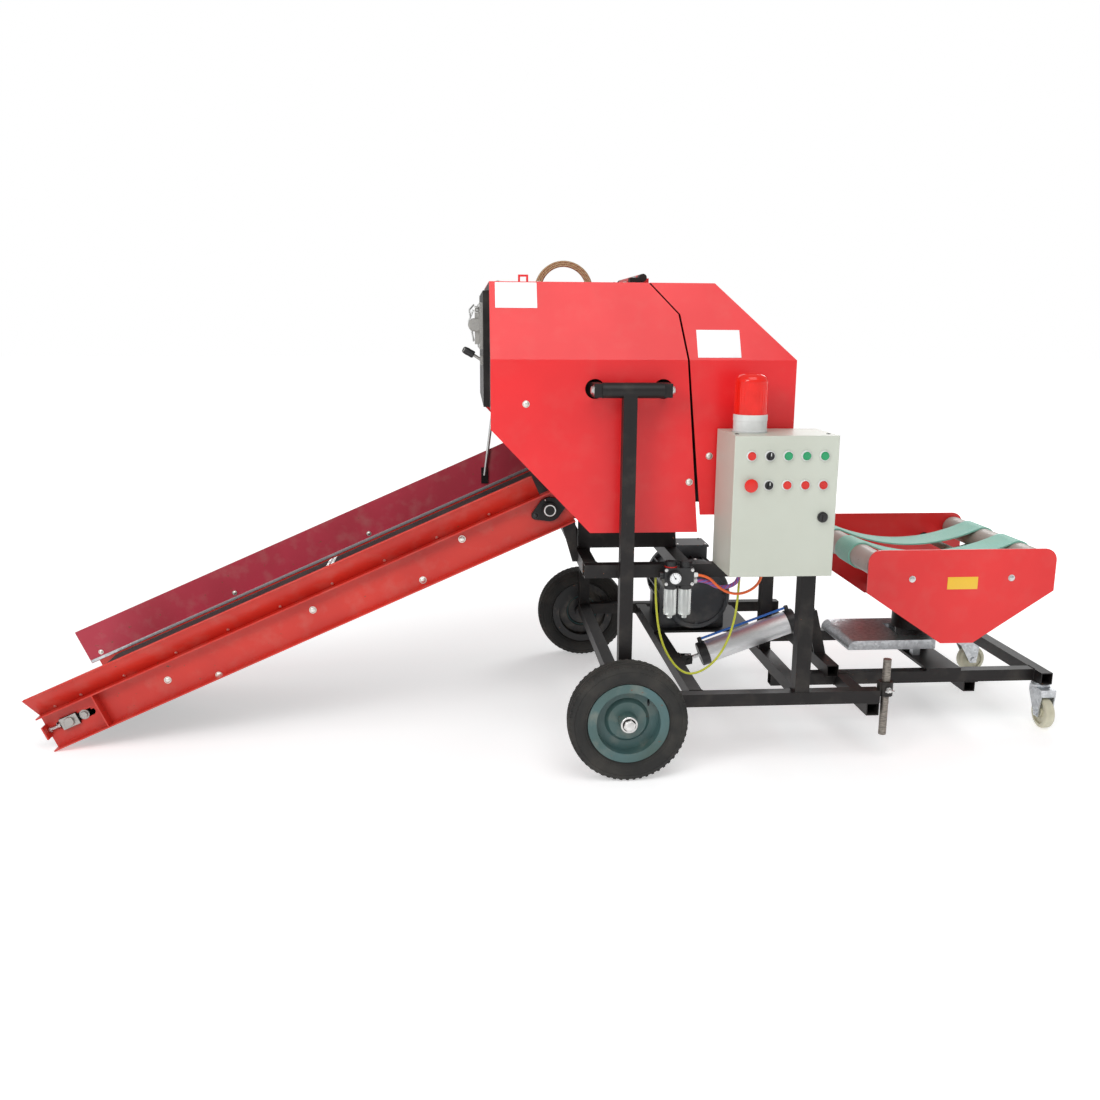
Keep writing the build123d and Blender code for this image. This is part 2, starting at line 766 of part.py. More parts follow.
# Gate
with BuildPart() as gate_covers:
    hood_prism(0, 0, SEAM[0][0], GATE_REAR)
    hood_prism(SHEET, SHEET, SEAM[0][0], GATE_REAR, Mode.SUBTRACT)
    block((SEAM[0][0], -ROOF_HALF, FOLD_Z), (GATE_REAR, ROOF_HALF, ROOF_Z), Mode.SUBTRACT)
    outline = [(x + SEAM_GAP, z) for x, z in SEAM[:3]]
    outline += [(SEAM[3][0] + SEAM_GAP, GATE_BOTTOM), (GATE_BOTTOM_END, GATE_BOTTOM)]
    outline += [(GATE_REAR, GATE_CORNER_Z), (GATE_REAR, FOLD_Z), (GATE_ROOF_END, ROOF_Z)]
    side_plate(outline, -HOOD_W / 2, HOOD_W / 2, Mode.INTERSECT)
gate_covers.part.label = "gate_covers"
export_step(gate_covers.part, "parts/gate_covers.step")

with BuildPart() as gate_skin:
    skin = [(SEAM[0][0] + SEAM_GAP, ROOF_Z), (GATE_ROOF_END, ROOF_Z), (GATE_REAR, FOLD_Z)]
    skin += [(GATE_REAR, GATE_CORNER_Z), (GATE_BOTTOM_END, GATE_BOTTOM)]
    with BuildSketch(side_plane(HOOD_W / 2)) as strip:
        with BuildLine() as line:
            Polyline(skin)
            offset(amount=SHEET, side=Side.RIGHT, closed=True)
        make_face()
    extrude(strip.sketch, amount=HOOD_W)
    hood_prism(SHEET, 0, SEAM[0][0], GATE_REAR, Mode.INTERSECT)
    for low, high in ((-HOOD_W / 2, -ROOF_HALF), (ROOF_HALF, HOOD_W / 2)):
        block((SEAM[0][0], low, ROOF_Z - SHEET), (GATE_REAR, high, ROOF_Z), Mode.SUBTRACT)
    block((HINGE_X + 5, -HINGE_L / 2, ROOF_Z - SHEET), (HINGE_X + 25, HINGE_L / 2, HINGE_Z))
    round_bar((HINGE_X, -HINGE_L / 2, HINGE_Z), (HINGE_X, HINGE_L / 2, HINGE_Z), HINGE_D)
    round_bar(
        (HINGE_X, -HINGE_L / 2, HINGE_Z),
        (HINGE_X, HINGE_L / 2, HINGE_Z),
        HINGE_PIN_D + 2 * RUNNING_GAP,
        mode=Mode.SUBTRACT,
    )
gate_skin.part.label = "gate_skin"
export_step(gate_skin.part, "parts/gate_skin.step")

with BuildPart() as hinge_pin:
    eye_start = HINGE_L / 2 + 1
    eye_end = eye_start + HINGE_EYE_L
    round_bar((HINGE_X, -eye_end, HINGE_Z), (HINGE_X, eye_end, HINGE_Z), HINGE_PIN_D)
    for side in SIDES:
        round_bar((HINGE_X, side * eye_start, HINGE_Z), (HINGE_X, side * eye_end, HINGE_Z), HINGE_D)
        block(
            (HINGE_X - 40, min(side * eye_start, side * eye_end), ROOF_Z),
            (HINGE_X - 8, max(side * eye_start, side * eye_end), HINGE_Z),
        )
hinge_pin.part.label = "hinge_pin"
export_step(hinge_pin.part, "parts/hinge_pin.step")

with BuildPart() as gate_plates:
    outline = [(x + SEAM_GAP + 4, min(z, PLATE_TOP)) for x, z in SEAM[:3]]
    outline += [(SEAM[3][0] + SEAM_GAP + 4, GATE_BOTTOM + 6), (GATE_BOTTOM_END - 6, GATE_BOTTOM + 6)]
    outline += [(GATE_REAR - 8, GATE_CORNER_Z), (GATE_REAR - 8, FOLD_Z - 6), (GATE_ROOF_END - 6, PLATE_TOP)]
    for side in SIDES:
        inner = side * CHAMBER_W / 2
        outer = side * (CHAMBER_W / 2 + PLATE_T)
        side_plate(outline, min(inner, outer), max(inner, outer))
        wall = side * (HOOD_W / 2 - SHEET)
        for x, z in GATE_SPACERS:
            round_bar((x, outer, z), (x, wall, z), LUG_W)
gate_plates.part.label = "gate_plates"
export_step(gate_plates.part, "parts/gate_plates.step")

with BuildPart() as gate_rollers:
    for angle in GATE_ROLLERS:
        x, z = on_circle(angle)
        round_bar((x, -CHAMBER_W / 2, z), (x, CHAMBER_W / 2, z), ROLLER_D)
gate_rollers.part.label = "gate_rollers"
export_step(gate_rollers.part, "parts/gate_rollers.step")

# Feed conveyor
with BuildPart() as conveyor_channels:
    for side in SIDES:
        inner = side * CONVEYOR_W / 2
        outer = inner + side * CHANNEL_FLANGE
        faces = inner + side * CHANNEL_T
        web = (min(inner, faces), max(inner, faces))
        flange = (min(inner, outer), max(inner, outer))
        belt_plate(belt_strip(0, CONVEYOR_L, 0, CHANNEL_H), *web)
        for n in (0.0, CHANNEL_H - CHANNEL_T):
            belt_plate(belt_strip(0, CONVEYOR_L, n, n + CHANNEL_T), *flange)
        belt_plate(belt_strip(RIB_U, RIB_U + CHANNEL_T, 0, CHANNEL_H), *flange)
        slot = belt_strip(SLOT_U0, SLOT_U1, DRUM_N - SLOT_W / 2, DRUM_N + SLOT_W / 2)
        belt_plate(slot, *web, Mode.SUBTRACT)
        for u in (SLOT_U0, SLOT_U1):
            x, z = on_belt(u, DRUM_N)
            round_bar((x, inner, z), (x, faces, z), SLOT_W, mode=Mode.SUBTRACT)
        tab = belt_strip(0, TAKE_UP_TAB_T, DRUM_N - TAKE_UP_TAB_H / 2, DRUM_N + TAKE_UP_TAB_H / 2)
        belt_plate(tab, *flange)
        rod_y = faces + side * FLANGE_T / 2
        rod_start, rod_end = on_belt(-TAKE_UP_OUT, DRUM_N), on_belt(TAKE_UP_TAB_T + 1, DRUM_N)
        round_bar(
            (rod_start[0], rod_y, rod_start[1]),
            (rod_end[0], rod_y, rod_end[1]),
            TAKE_UP_D + 2 * TAKE_UP_PLAY,
            mode=Mode.SUBTRACT,
        )
conveyor_channels.part.label = "conveyor_channels"
export_step(conveyor_channels.part, "parts/conveyor_channels.step")

with BuildPart() as conveyor_deck:
    deck_y = CONVEYOR_W / 2
    deck_top = DRUM_N + DRUM_D / 2 - BELT_GAP
    deck_low = deck_top - DECK_H
    deck_u1 = CONVEYOR_L - DECK_END
    belt_plate(belt_strip(DECK_END, deck_u1, deck_low, deck_top), -deck_y, deck_y)
    belt_plate(
        belt_strip(DECK_END - SHEET, deck_u1 + SHEET, deck_low + SHEET, deck_top - SHEET),
        SHEET - deck_y,
        deck_y - SHEET,
        Mode.SUBTRACT,
    )
conveyor_deck.part.label = "conveyor_deck"
export_step(conveyor_deck.part, "parts/conveyor_deck.step")

with BuildPart() as conveyor_lip:
    lip_y = -CONVEYOR_W / 2 - CHANNEL_T
    x, z = on_belt(0, CHANNEL_H)
    lip_plane = Plane(origin=at(x, lip_y, z), x_dir=(0, 1, 0), z_dir=BELT_WAY)
    with BuildSketch(lip_plane):
        with BuildLine():
            Polyline((0, 0), (-LIP_OUT, LIP_RISE), (SHEET - LIP_OUT, LIP_RISE), (SHEET, 0), close=True)
        make_face()
    extrude(amount=LIP_END)
conveyor_lip.part.label = "conveyor_lip"
export_step(conveyor_lip.part, "parts/conveyor_lip.step")

with BuildPart() as conveyor_board:
    board_y = CONVEYOR_W / 2
    board = belt_strip(BOARD_START, LIP_END, CHANNEL_H, CHANNEL_H + BOARD_RISE)
    belt_plate(board, board_y, board_y + SHEET)
conveyor_board.part.label = "conveyor_board"
export_step(conveyor_board.part, "parts/conveyor_board.step")

with BuildPart() as conveyor_belt:
    middle = (TAIL_DRUM_U + HEAD_DRUM_U) / 2
    x, z = on_belt(middle, DRUM_N)
    belt_plane = Plane(origin=at(x, BELT_W / 2, z), x_dir=BELT_WAY, z_dir=(0, -1, 0))
    with BuildSketch(belt_plane):
        SlotCenterToCenter(HEAD_DRUM_U - TAIL_DRUM_U, DRUM_D + 2 * BELT_T)
        SlotCenterToCenter(HEAD_DRUM_U - TAIL_DRUM_U, DRUM_D + 2 * BELT_SLACK, mode=Mode.SUBTRACT)
    extrude(amount=BELT_W)
conveyor_belt.part.label = "conveyor_belt"
export_step(conveyor_belt.part, "parts/conveyor_belt.step")

with BuildPart() as conveyor_drums:
    reach = CONVEYOR_W / 2
    for u in (TAIL_DRUM_U, HEAD_DRUM_U):
        x, z = on_belt(u, DRUM_N)
        round_bar((x, 6 - reach, z), (x, reach - 6, z), DRUM_D)
        round_bar((x, -reach, z), (x, reach, z), DRUM_SHAFT_D)
conveyor_drums.part.label = "conveyor_drums"
export_step(conveyor_drums.part, "parts/conveyor_drums.step")

with BuildPart() as conveyor_bearings:
    for side in SIDES:
        face = side * (CONVEYOR_W / 2 + CHANNEL_T)
        insert_y = face + side * FLANGE_T
        shaft_y = insert_y + side * INSERT_L
        x, z = on_belt(HEAD_DRUM_U, DRUM_N)
        ear_x = FLANGE_EAR_U * cos(CONVEYOR_SLOPE)
        ear_z = FLANGE_EAR_U * sin(CONVEYOR_SLOPE)
        with BuildSketch(side_plane(face, x, z)) as flange_face:
            Circle(FLANGE_D / 2)
            with Locations((ear_x, ear_z), (-ear_x, -ear_z)):
                Circle(FLANGE_EAR_D / 2)
            make_hull()
        extrude(flange_face.sketch, amount=-side * FLANGE_T)
        round_bar((x, insert_y, z), (x, shaft_y, z), INSERT_D)
        round_bar((x, shaft_y, z), (x, shaft_y + side * SHAFT_END, z), DRUM_SHAFT_D)
        x, z = on_belt(TAIL_DRUM_U, DRUM_N)
        slider_u = TAIL_DRUM_U - SLIDER_L / 2
        slider = belt_strip(slider_u, slider_u + SLIDER_L, DRUM_N - SLIDER_H / 2, DRUM_N + SLIDER_H / 2)
        belt_plate(slider, min(face, insert_y), max(face, insert_y))
        round_bar((x, side * CONVEYOR_W / 2, z), (x, face, z), SLOT_W - 2 * TAKE_UP_PLAY)
        round_bar((x, insert_y, z), (x, insert_y + side * SHAFT_END, z), DRUM_SHAFT_D)
        rod_y = face + side * FLANGE_T / 2
        rod_start, rod_end = on_belt(-TAKE_UP_OUT, DRUM_N), on_belt(slider_u, DRUM_N)
        round_bar((rod_start[0], rod_y, rod_start[1]), (rod_end[0], rod_y, rod_end[1]), TAKE_UP_D)
conveyor_bearings.part.label = "conveyor_bearings"
export_step(conveyor_bearings.part, "parts/conveyor_bearings.step")

with BuildPart() as conveyor_stays:
    stay_y = CONVEYOR_W / 2 - STAY_T
    foot_x, foot_z = on_belt(LIP_END - STAY_IN, CHANNEL_H + STAY_RISE)
    tab_x = HOOD_FRONT + STAY_LEAN
    tab_z = PANEL_BOTTOM - STAY_TAB_H
    round_bar((foot_x, stay_y, foot_z), (tab_x, stay_y, tab_z + STAY_T), STAY_D)
    block(
        (foot_x - STAY_FOOT_W / 2, stay_y, foot_z - STAY_FOOT_H / 2),
        (foot_x + STAY_FOOT_W / 2, stay_y + STAY_T, foot_z + STAY_FOOT_H / 2),
    )
    block((HOOD_FRONT, stay_y - STAY_T, tab_z), (tab_x + STAY_D, stay_y + STAY_T, PANEL_BOTTOM))
    beam_x = CROSS_BEAM_X[0] - TUBE / 2
    for side in SIDES:
        inner = side * (CONVEYOR_W / 2 + CHANNEL_T + HANGER_GAP)
        outer = inner + side * STAY_T
        side_plate(
            [
                on_belt(CONVEYOR_L - HANGER_W, 0),
                on_belt(CONVEYOR_L, 0),
                (beam_x, MID_BEAM_TOP + 30),
                (beam_x, MID_BEAM_TOP - TUBE + 2),
                (beam_x - 14, MID_BEAM_TOP - TUBE + 2),
            ],
            min(inner, outer),
            max(inner, outer),
        )
conveyor_stays.part.label = "conveyor_stays"
export_step(conveyor_stays.part, "parts/conveyor_stays.step")

# Twine gear on the front panel and the roof
with BuildPart() as tying_unit:
    block((PANEL_X - 10, TYING_Y - 60, TYING_Z - 72), (PANEL_X, TYING_Y + 60, TYING_Z + 66))
    block((PANEL_X - 24, TYING_Y - 30, TYING_Z - 58), (PANEL_X - 10, TYING_Y - 24, TYING_Z + 56))
    round_bar((PANEL_X - 20, TYING_Y - 46, TYING_Z), (PANEL_X - 20, TYING_Y + 46, TYING_Z), TYING_REEL_D)
    block((PANEL_X - 8, TYING_Y - 30, LEVER_Z - 14), (PANEL_X, TYING_Y + 30, LEVER_Z + 14))
    grip = (PANEL_X - LEVER_OUT, TYING_Y, LEVER_Z + LEVER_RISE)
    neck = (PANEL_X - LEVER_OUT / 2, TYING_Y, LEVER_Z + LEVER_RISE / 2)
    round_bar((PANEL_X - 4, TYING_Y, LEVER_Z), neck, LEVER_D)
    round_bar(neck, grip, GRIP_D)
tying_unit.part.label = "tying_unit"
export_step(tying_unit.part, "parts/tying_unit.step")

with BuildPart() as twine_coil:
    coil_plane = Plane(origin=at(COIL_X + COIL_R, COIL_Y, COIL_FLOOR + COIL_R + COIL_D / 2))
    with BuildSketch(coil_plane):
        Circle(COIL_D / 2)
    revolve(axis=Axis(at(COIL_X, COIL_Y, COIL_FLOOR + COIL_R + COIL_D / 2), (0, 1, 0)))
twine_coil.part.label = "twine_coil"
export_step(twine_coil.part, "parts/twine_coil.step")

# Motor
with BuildPart() as motor:
    box_y = MOTOR_START_Y + MOTOR_L / 3
    box_z = MOTOR_Z + MOTOR_D / 2 + BOX_RISE
    cover_end = MOTOR_START_Y + FAN_COVER_L
    shield_y = MOTOR_END_Y - SHIELD_L
    round_bar((MOTOR_X, MOTOR_START_Y + FAN_COVER_T, MOTOR_Z), (MOTOR_X, shield_y, MOTOR_Z), MOTOR_BODY_D)
    with BuildSketch(side_plane(shield_y, MOTOR_X, MOTOR_Z)) as fins:
        with PolarLocations((MOTOR_BODY_D + MOTOR_D) / 4, MOTOR_FINS):
            Rectangle((MOTOR_D - MOTOR_BODY_D) / 2 + FIN_T, FIN_T)
        Circle(MOTOR_D / 2, mode=Mode.INTERSECT)
    extrude(fins.sketch, amount=shield_y - cover_end)
    with BuildSketch(Plane(origin=at(MOTOR_X, MOTOR_START_Y, MOTOR_Z))) as fan_cover:
        Rectangle(MOTOR_D / 2, FAN_COVER_L, align=(Align.MIN, Align.MIN))
        fillet(fan_cover.vertices().sort_by(Axis.X)[2:].sort_by(Axis.Y)[0], FAN_COVER_R)
    revolve(fan_cover.sketch, axis=Axis(at(MOTOR_X, MOTOR_START_Y, MOTOR_Z), (0, 1, 0)))
    with BuildSketch(side_plane(MOTOR_START_Y + FAN_COVER_T, MOTOR_X, MOTOR_Z)) as grille:
        for ring in GRILLE_RINGS:
            Circle(ring + GRILLE_W / 2)
            Circle(ring - GRILLE_W / 2, mode=Mode.SUBTRACT)
        with PolarLocations(0, GRILLE_SPOKES):
            Rectangle(MOTOR_D, GRILLE_W, mode=Mode.SUBTRACT)
    extrude(grille.sketch, amount=FAN_COVER_T, mode=Mode.SUBTRACT)
    with BuildSketch(Plane(origin=at(MOTOR_X, shield_y, MOTOR_Z))) as shield:
        Rectangle(MOTOR_D / 2, SHIELD_L, align=(Align.MIN, Align.MIN))
        fillet(shield.vertices().sort_by(Axis.X)[2:].sort_by(Axis.Y)[-1], FAN_COVER_R)
    revolve(shield.sketch, axis=Axis(at(MOTOR_X, shield_y, MOTOR_Z), (0, 1, 0)))
    round_bar((MOTOR_X, MOTOR_END_Y, MOTOR_Z), (MOTOR_X, MOTOR_END_Y + SHAFT_L, MOTOR_Z), SHAFT_D)
    for y in (MOTOR_START_Y + FOOT_IN, MOTOR_END_Y - FOOT_IN):
        block(
            (MOTOR_X - FOOT_W / 2, y - FOOT_L / 2, FRAME_TOP + BASE_T),
            (MOTOR_X + FOOT_W / 2, y + FOOT_L / 2, MOTOR_Z - MOTOR_D / 6),
        )
    block(
        (MOTOR_X - BOX_W / 2, box_y, MOTOR_Z + MOTOR_D / 3),
        (MOTOR_X + BOX_W / 2, box_y + BOX_W, box_z - BOX_LID_T),
    )
    lid_w = BOX_W / 2 + BOX_LID_OUT
    block(
        (MOTOR_X - lid_w, box_y - BOX_LID_OUT, box_z - BOX_LID_T),
        (MOTOR_X + lid_w, box_y + BOX_W + BOX_LID_OUT, box_z),
    )
motor.part.label = "motor"
export_step(motor.part, "parts/motor.step")

# Air cylinder
with BuildPart() as cylinder_barrel:
    eye = along_cylinder(0)
    eye_half = CYLINDER_EYE_W / 2
    round_bar(along_cylinder(BARREL_START), along_cylinder(BARREL_START + CYLINDER_L), CYLINDER_D)
    round_bar(along_cylinder(0), along_cylinder(BARREL_START), CYLINDER_EYE_W - 3)
    round_bar((eye[0], eye[1] - eye_half, eye[2]), (eye[0], eye[1] + eye_half, eye[2]), CYLINDER_EYE_D)
    round_bar(
        (eye[0], eye[1] - eye_half, eye[2]),
        (eye[0], eye[1] + eye_half, eye[2]),
        CYLINDER_PIN_D + PIN_PLAY,
        mode=Mode.SUBTRACT,
    )
cylinder_barrel.part.label = "cylinder_barrel"
export_step(cylinder_barrel.part, "parts/cylinder_barrel.step")

with BuildPart() as cylinder_rod:
    eye = along_cylinder(CYLINDER_PIN_L)
    round_bar(along_cylinder(BARREL_START + CYLINDER_L), eye, CYLINDER_ROD_D)
    round_bar((eye[0], eye[1] - eye_half, eye[2]), (eye[0], eye[1] + eye_half, eye[2]), CYLINDER_EYE_D)
    round_bar(
        (eye[0], eye[1] - CYLINDER_D, eye[2]),
        (eye[0], eye[1] + CYLINDER_D, eye[2]),
        CYLINDER_PIN_D + PIN_PLAY,
        mode=Mode.SUBTRACT,
    )
    for side in SIDES:
        trim = sorted((side * eye_half, side * CYLINDER_D))
        block(
            (eye[0] - CYLINDER_EYE_D, eye[1] + trim[0], eye[2] - CYLINDER_EYE_D),
            (eye[0] + CYLINDER_EYE_D, eye[1] + trim[1], eye[2] + CYLINDER_EYE_D),
            Mode.SUBTRACT,
        )
cylinder_rod.part.label = "cylinder_rod"
export_step(cylinder_rod.part, "parts/cylinder_rod.step")

with BuildPart() as drive_mounts:
    low_x = FRONT_CROSS_X - TUBE / 2
    high_x = MID_CROSS_X + TUBE / 2
    block(
        (low_x, MOTOR_START_Y + BASE_IN, FRAME_TOP),
        (high_x, MOTOR_END_Y - BASE_IN, FRAME_TOP + BASE_T),
    )
    cross_face = FRONT_CROSS_X + TUBE / 2
    rear = along_cylinder(0)
    front = along_cylinder(CYLINDER_PIN_L)
    block(
        (cross_face, CYLINDER_Y - EAR_BASE_W / 2, FRAME_BOTTOM),
        (cross_face + EAR_BASE_T, CYLINDER_Y + EAR_BASE_W / 2, FRAME_TOP),
    )
    for side in SIDES:
        inner = CYLINDER_Y + side * (eye_half + EAR_GAP)
        outer = inner + side * CYLINDER_EAR_T
        ear = (min(inner, outer), max(inner, outer))
        side_plate(
            [
                (cross_face, FRAME_BOTTOM + WALL),
                (rear[0] + EAR_EDGE, rear[2] - EAR_HALF),
                (rear[0] + EAR_EDGE, rear[2] + EAR_HALF),
                (cross_face, FRAME_TOP),
            ],
            *ear,
        )
        side_plate(
            [
                (TOP_TUBE_X - TUBE / 2, FRAME_TOP),
                (TOP_TUBE_X + TUBE / 2, FRAME_TOP),
                (front[0] + EAR_HALF, front[2] + EAR_HALF),
                (front[0] - EAR_HALF, front[2] + EAR_HALF),
                (front[0] - EAR_HALF, front[2] - EAR_HALF),
            ],
            *ear,
        )
    reach = eye_half + CYLINDER_EAR_T + PIN_END
    for x, y, z in (rear, front):
        round_bar((x, y - reach, z), (x, y + reach, z), CYLINDER_PIN_D)
drive_mounts.part.label = "drive_mounts"
export_step(drive_mounts.part, "parts/drive_mounts.step")

# Air preparation unit
with BuildPart() as air_unit:
    low_y = AIR_FACE_Y - AIR_UNIT_DEPTH
    block((AIR_UNIT_START, low_y, AIR_UNIT_Z), (AIR_UNIT_END, AIR_FACE_Y, AIR_UNIT_TOP))
    for x in AIR_COLUMNS:
        round_bar((x, AIR_AXIS_Y, AIR_UNIT_TOP), (x, AIR_AXIS_Y, AIR_UNIT_TOP + KNOB_H), KNOB_D)
    gauge_x = AIR_COLUMNS[0] + 8
    round_bar((gauge_x, low_y, AIR_INLET_Z - 2), (gauge_x, low_y - GAUGE_T, AIR_INLET_Z - 2), GAUGE_D)
    inlet = (AIR_UNIT_START - INLET_L, AIR_AXIS_Y, AIR_INLET_Z)
    body_end = (AIR_UNIT_START, AIR_AXIS_Y, AIR_INLET_Z)
    round_bar(body_end, inlet, INLET_D)
    round_bar(inlet, body_end, INLET_BORE, mode=Mode.SUBTRACT)
air_unit.part.label = "air_unit"
export_step(air_unit.part, "parts/air_unit.step")

with BuildPart() as air_bowls:
    for x in AIR_COLUMNS:
        bowl_z = AIR_UNIT_Z - BOWL_H
        round_bar((x, AIR_AXIS_Y, bowl_z), (x, AIR_AXIS_Y, AIR_UNIT_Z), BOWL_D)
        round_bar((x, AIR_AXIS_Y, bowl_z - DRAIN_H), (x, AIR_AXIS_Y, bowl_z), DRAIN_D)
air_bowls.part.label = "air_bowls"
export_step(air_bowls.part, "parts/air_bowls.step")

# Cabinet
with BuildPart() as cabinet_shell:
    block((CABINET_LEFT, CABINET_FRONT, CABINET_BOTTOM), (CABINET_RIGHT, CABINET_BACK, CABINET_TOP))
    block(
        (CABINET_LEFT + CABINET_WALL, CABINET_FRONT, CABINET_BOTTOM + CABINET_WALL),
        (CABINET_RIGHT - CABINET_WALL, CABINET_BACK - CABINET_WALL, CABINET_TOP - CABINET_WALL),
        Mode.SUBTRACT,
    )
    gland_x = CABINET_LEFT + CABINET_W / 2 + GLAND_OFF
    gland_y = CABINET_FRONT + GLAND_IN
    round_bar(
        (gland_x, gland_y, CABINET_BOTTOM - CABINET_WALL),
        (gland_x, gland_y, CABINET_BOTTOM + 2 * CABINET_WALL),
        GLAND_D,
        mode=Mode.SUBTRACT,
    )
cabinet_shell.part.label = "cabinet_shell"
export_step(cabinet_shell.part, "parts/cabinet_shell.step")

with BuildPart() as cabinet_door:
    block(
        (CABINET_LEFT, DOOR_FACE, CABINET_BOTTOM),
        (CABINET_RIGHT, CABINET_FRONT - DOOR_SEAL, CABINET_TOP),
    )
    block(
        (CABINET_LEFT + CABINET_WALL, DOOR_FACE + CABINET_WALL, CABINET_BOTTOM + CABINET_WALL),
        (CABINET_RIGHT - CABINET_WALL, CABINET_FRONT, CABINET_TOP - CABINET_WALL),
        Mode.SUBTRACT,
    )
    fillet(cabinet_door.faces().sort_by(Axis.Y)[0].edges(), radius=CABINET_WALL - 0.5)
cabinet_door.part.label = "cabinet_door"
export_step(cabinet_door.part, "parts/cabinet_door.step")

with BuildPart() as door_controls:
    for z in BUTTON_ROWS:
        for column in range(BUTTON_COLUMNS):
            x = BUTTON_X + column * BUTTON_PITCH
            cap = BUTTON_D - 8
            if z == BUTTON_ROWS[0] and column == 0:
                cap = STOP_D
            round_bar((x, DOOR_FACE, z), (x, DOOR_FACE - BEZEL_T, z), BUTTON_D)
            round_bar((x, DOOR_FACE - BEZEL_T, z), (x, DOOR_FACE - BUTTON_OUT, z), cap)
    round_bar((LOCK_X, DOOR_FACE, LOCK_Z), (LOCK_X, DOOR_FACE - BUTTON_OUT, LOCK_Z), BUTTON_D)
door_controls.part.label = "door_controls"
export_step(door_controls.part, "parts/door_controls.step")

with BuildPart() as beacon_base:
    round_bar((BEACON_X, BEACON_Y, CABINET_TOP), (BEACON_X, BEACON_Y, LENS_Z), BEACON_D)
beacon_base.part.label = "beacon_base"
export_step(beacon_base.part, "parts/beacon_base.step")

with BuildPart() as beacon_lens:
    lens_top = CABINET_TOP + BEACON_H
    round_bar((BEACON_X, BEACON_Y, LENS_Z), (BEACON_X, BEACON_Y, lens_top), BEACON_D - 4)
    fillet(beacon_lens.faces().sort_by(Axis.Z)[-1].edges(), radius=LENS_ROUND)
beacon_lens.part.label = "beacon_lens"
export_step(beacon_lens.part, "parts/beacon_lens.step")

# Prop rod in its collar at the near rail's end
with BuildPart() as prop_collar:
    low = FRAME_Z
    high = FRAME_Z + COLLAR_H
    bore = PROP_D + 2 * RUNNING_GAP
    block((RAIL_END, -RAIL_Y - COLLAR_ARM / 2, low), (PROP_X, -RAIL_Y + COLLAR_ARM / 2, high))
    round_bar((PROP_X, -RAIL_Y, low), (PROP_X, -RAIL_Y, high), COLLAR_D)
    round_bar((PROP_X, -RAIL_Y, low), (PROP_X, -RAIL_Y, high), bore, mode=Mode.SUBTRACT)
prop_collar.part.label = "prop_collar"
export_step(prop_collar.part, "parts/prop_collar.step")

with BuildPart() as prop_rod:
    shoulder = PROP_BOTTOM + PROP_FOOT_L
    round_bar((PROP_X, -RAIL_Y, shoulder), (PROP_X, -RAIL_Y, PROP_TOP), PROP_D)
    round_bar((PROP_X, -RAIL_Y, PROP_BOTTOM), (PROP_X, -RAIL_Y, shoulder), PROP_FOOT_D)
prop_rod.part.label = "prop_rod"
export_step(prop_rod.part, "parts/prop_rod.step")

# Casters
def caster_fork(name):
    """Swivel head, fork legs and axle of one caster, trailing the way it is turned."""
    y, dx, dy = CASTER_PLACES[name]
    axle_x = CASTER_BAR_X + dx * CASTER_TRAIL
    axle_y = y + dy * CASTER_TRAIL
    wheel_z = CASTER_WHEEL_D / 2
    head_z = CASTER_TOP - CASTER_HEAD_H
    round_bar((CASTER_BAR_X, y, head_z), (CASTER_BAR_X, y, CASTER_TOP - CASTER_PLAY), CASTER_HEAD_D)
    gap = CASTER_WHEEL_W / 2 + CASTER_GAP
    across = Vector(dy, dx, 0)
    crown_z = CASTER_WHEEL_D + CASTER_CROWN
    plane = Plane(origin=at(CASTER_BAR_X, y, crown_z), x_dir=(dx, dy, 0), z_dir=(0, 0, 1))
    with BuildSketch(plane) as crown:
        with Locations((CASTER_TRAIL / 2, 0)):
            Rectangle(CASTER_TRAIL + 2 * LEG_TOP, 2 * gap + 2 * CASTER_FORK_T)
    extrude(crown.sketch, amount=head_z + 2 - crown_z)
    for side in SIDES:
        start = Vector(CASTER_BAR_X, y, 0) + across * (side * (gap + CASTER_FORK_T / 2))
        origin = at(start.X, start.Y, 0)
        leg_plane = Plane(origin=origin, x_dir=(dx, dy, 0), z_dir=(across.X, across.Y, 0))
        up = leg_plane.y_dir.Z
        with BuildSketch(leg_plane) as leg:
            with BuildLine():
                Polyline(
                    (-LEG_TOP, up * (crown_z + CASTER_FORK_T)),
                    (CASTER_TRAIL + LEG_TOP, up * (crown_z + CASTER_FORK_T)),
                    (CASTER_TRAIL + LEG_FOOT, up * (wheel_z - CASTER_AXLE_D)),
                    (CASTER_TRAIL - LEG_FOOT, up * (wheel_z - CASTER_AXLE_D)),
                    close=True,
                )
            make_face()
        extrude(leg.sketch, amount=CASTER_FORK_T / 2, both=True)
    reach = gap + CASTER_FORK_T + CASTER_GAP
    round_bar(
        (axle_x - across.X * reach, axle_y - across.Y * reach, wheel_z),
        (axle_x + across.X * reach, axle_y + across.Y * reach, wheel_z),
        CASTER_AXLE_D,
    )


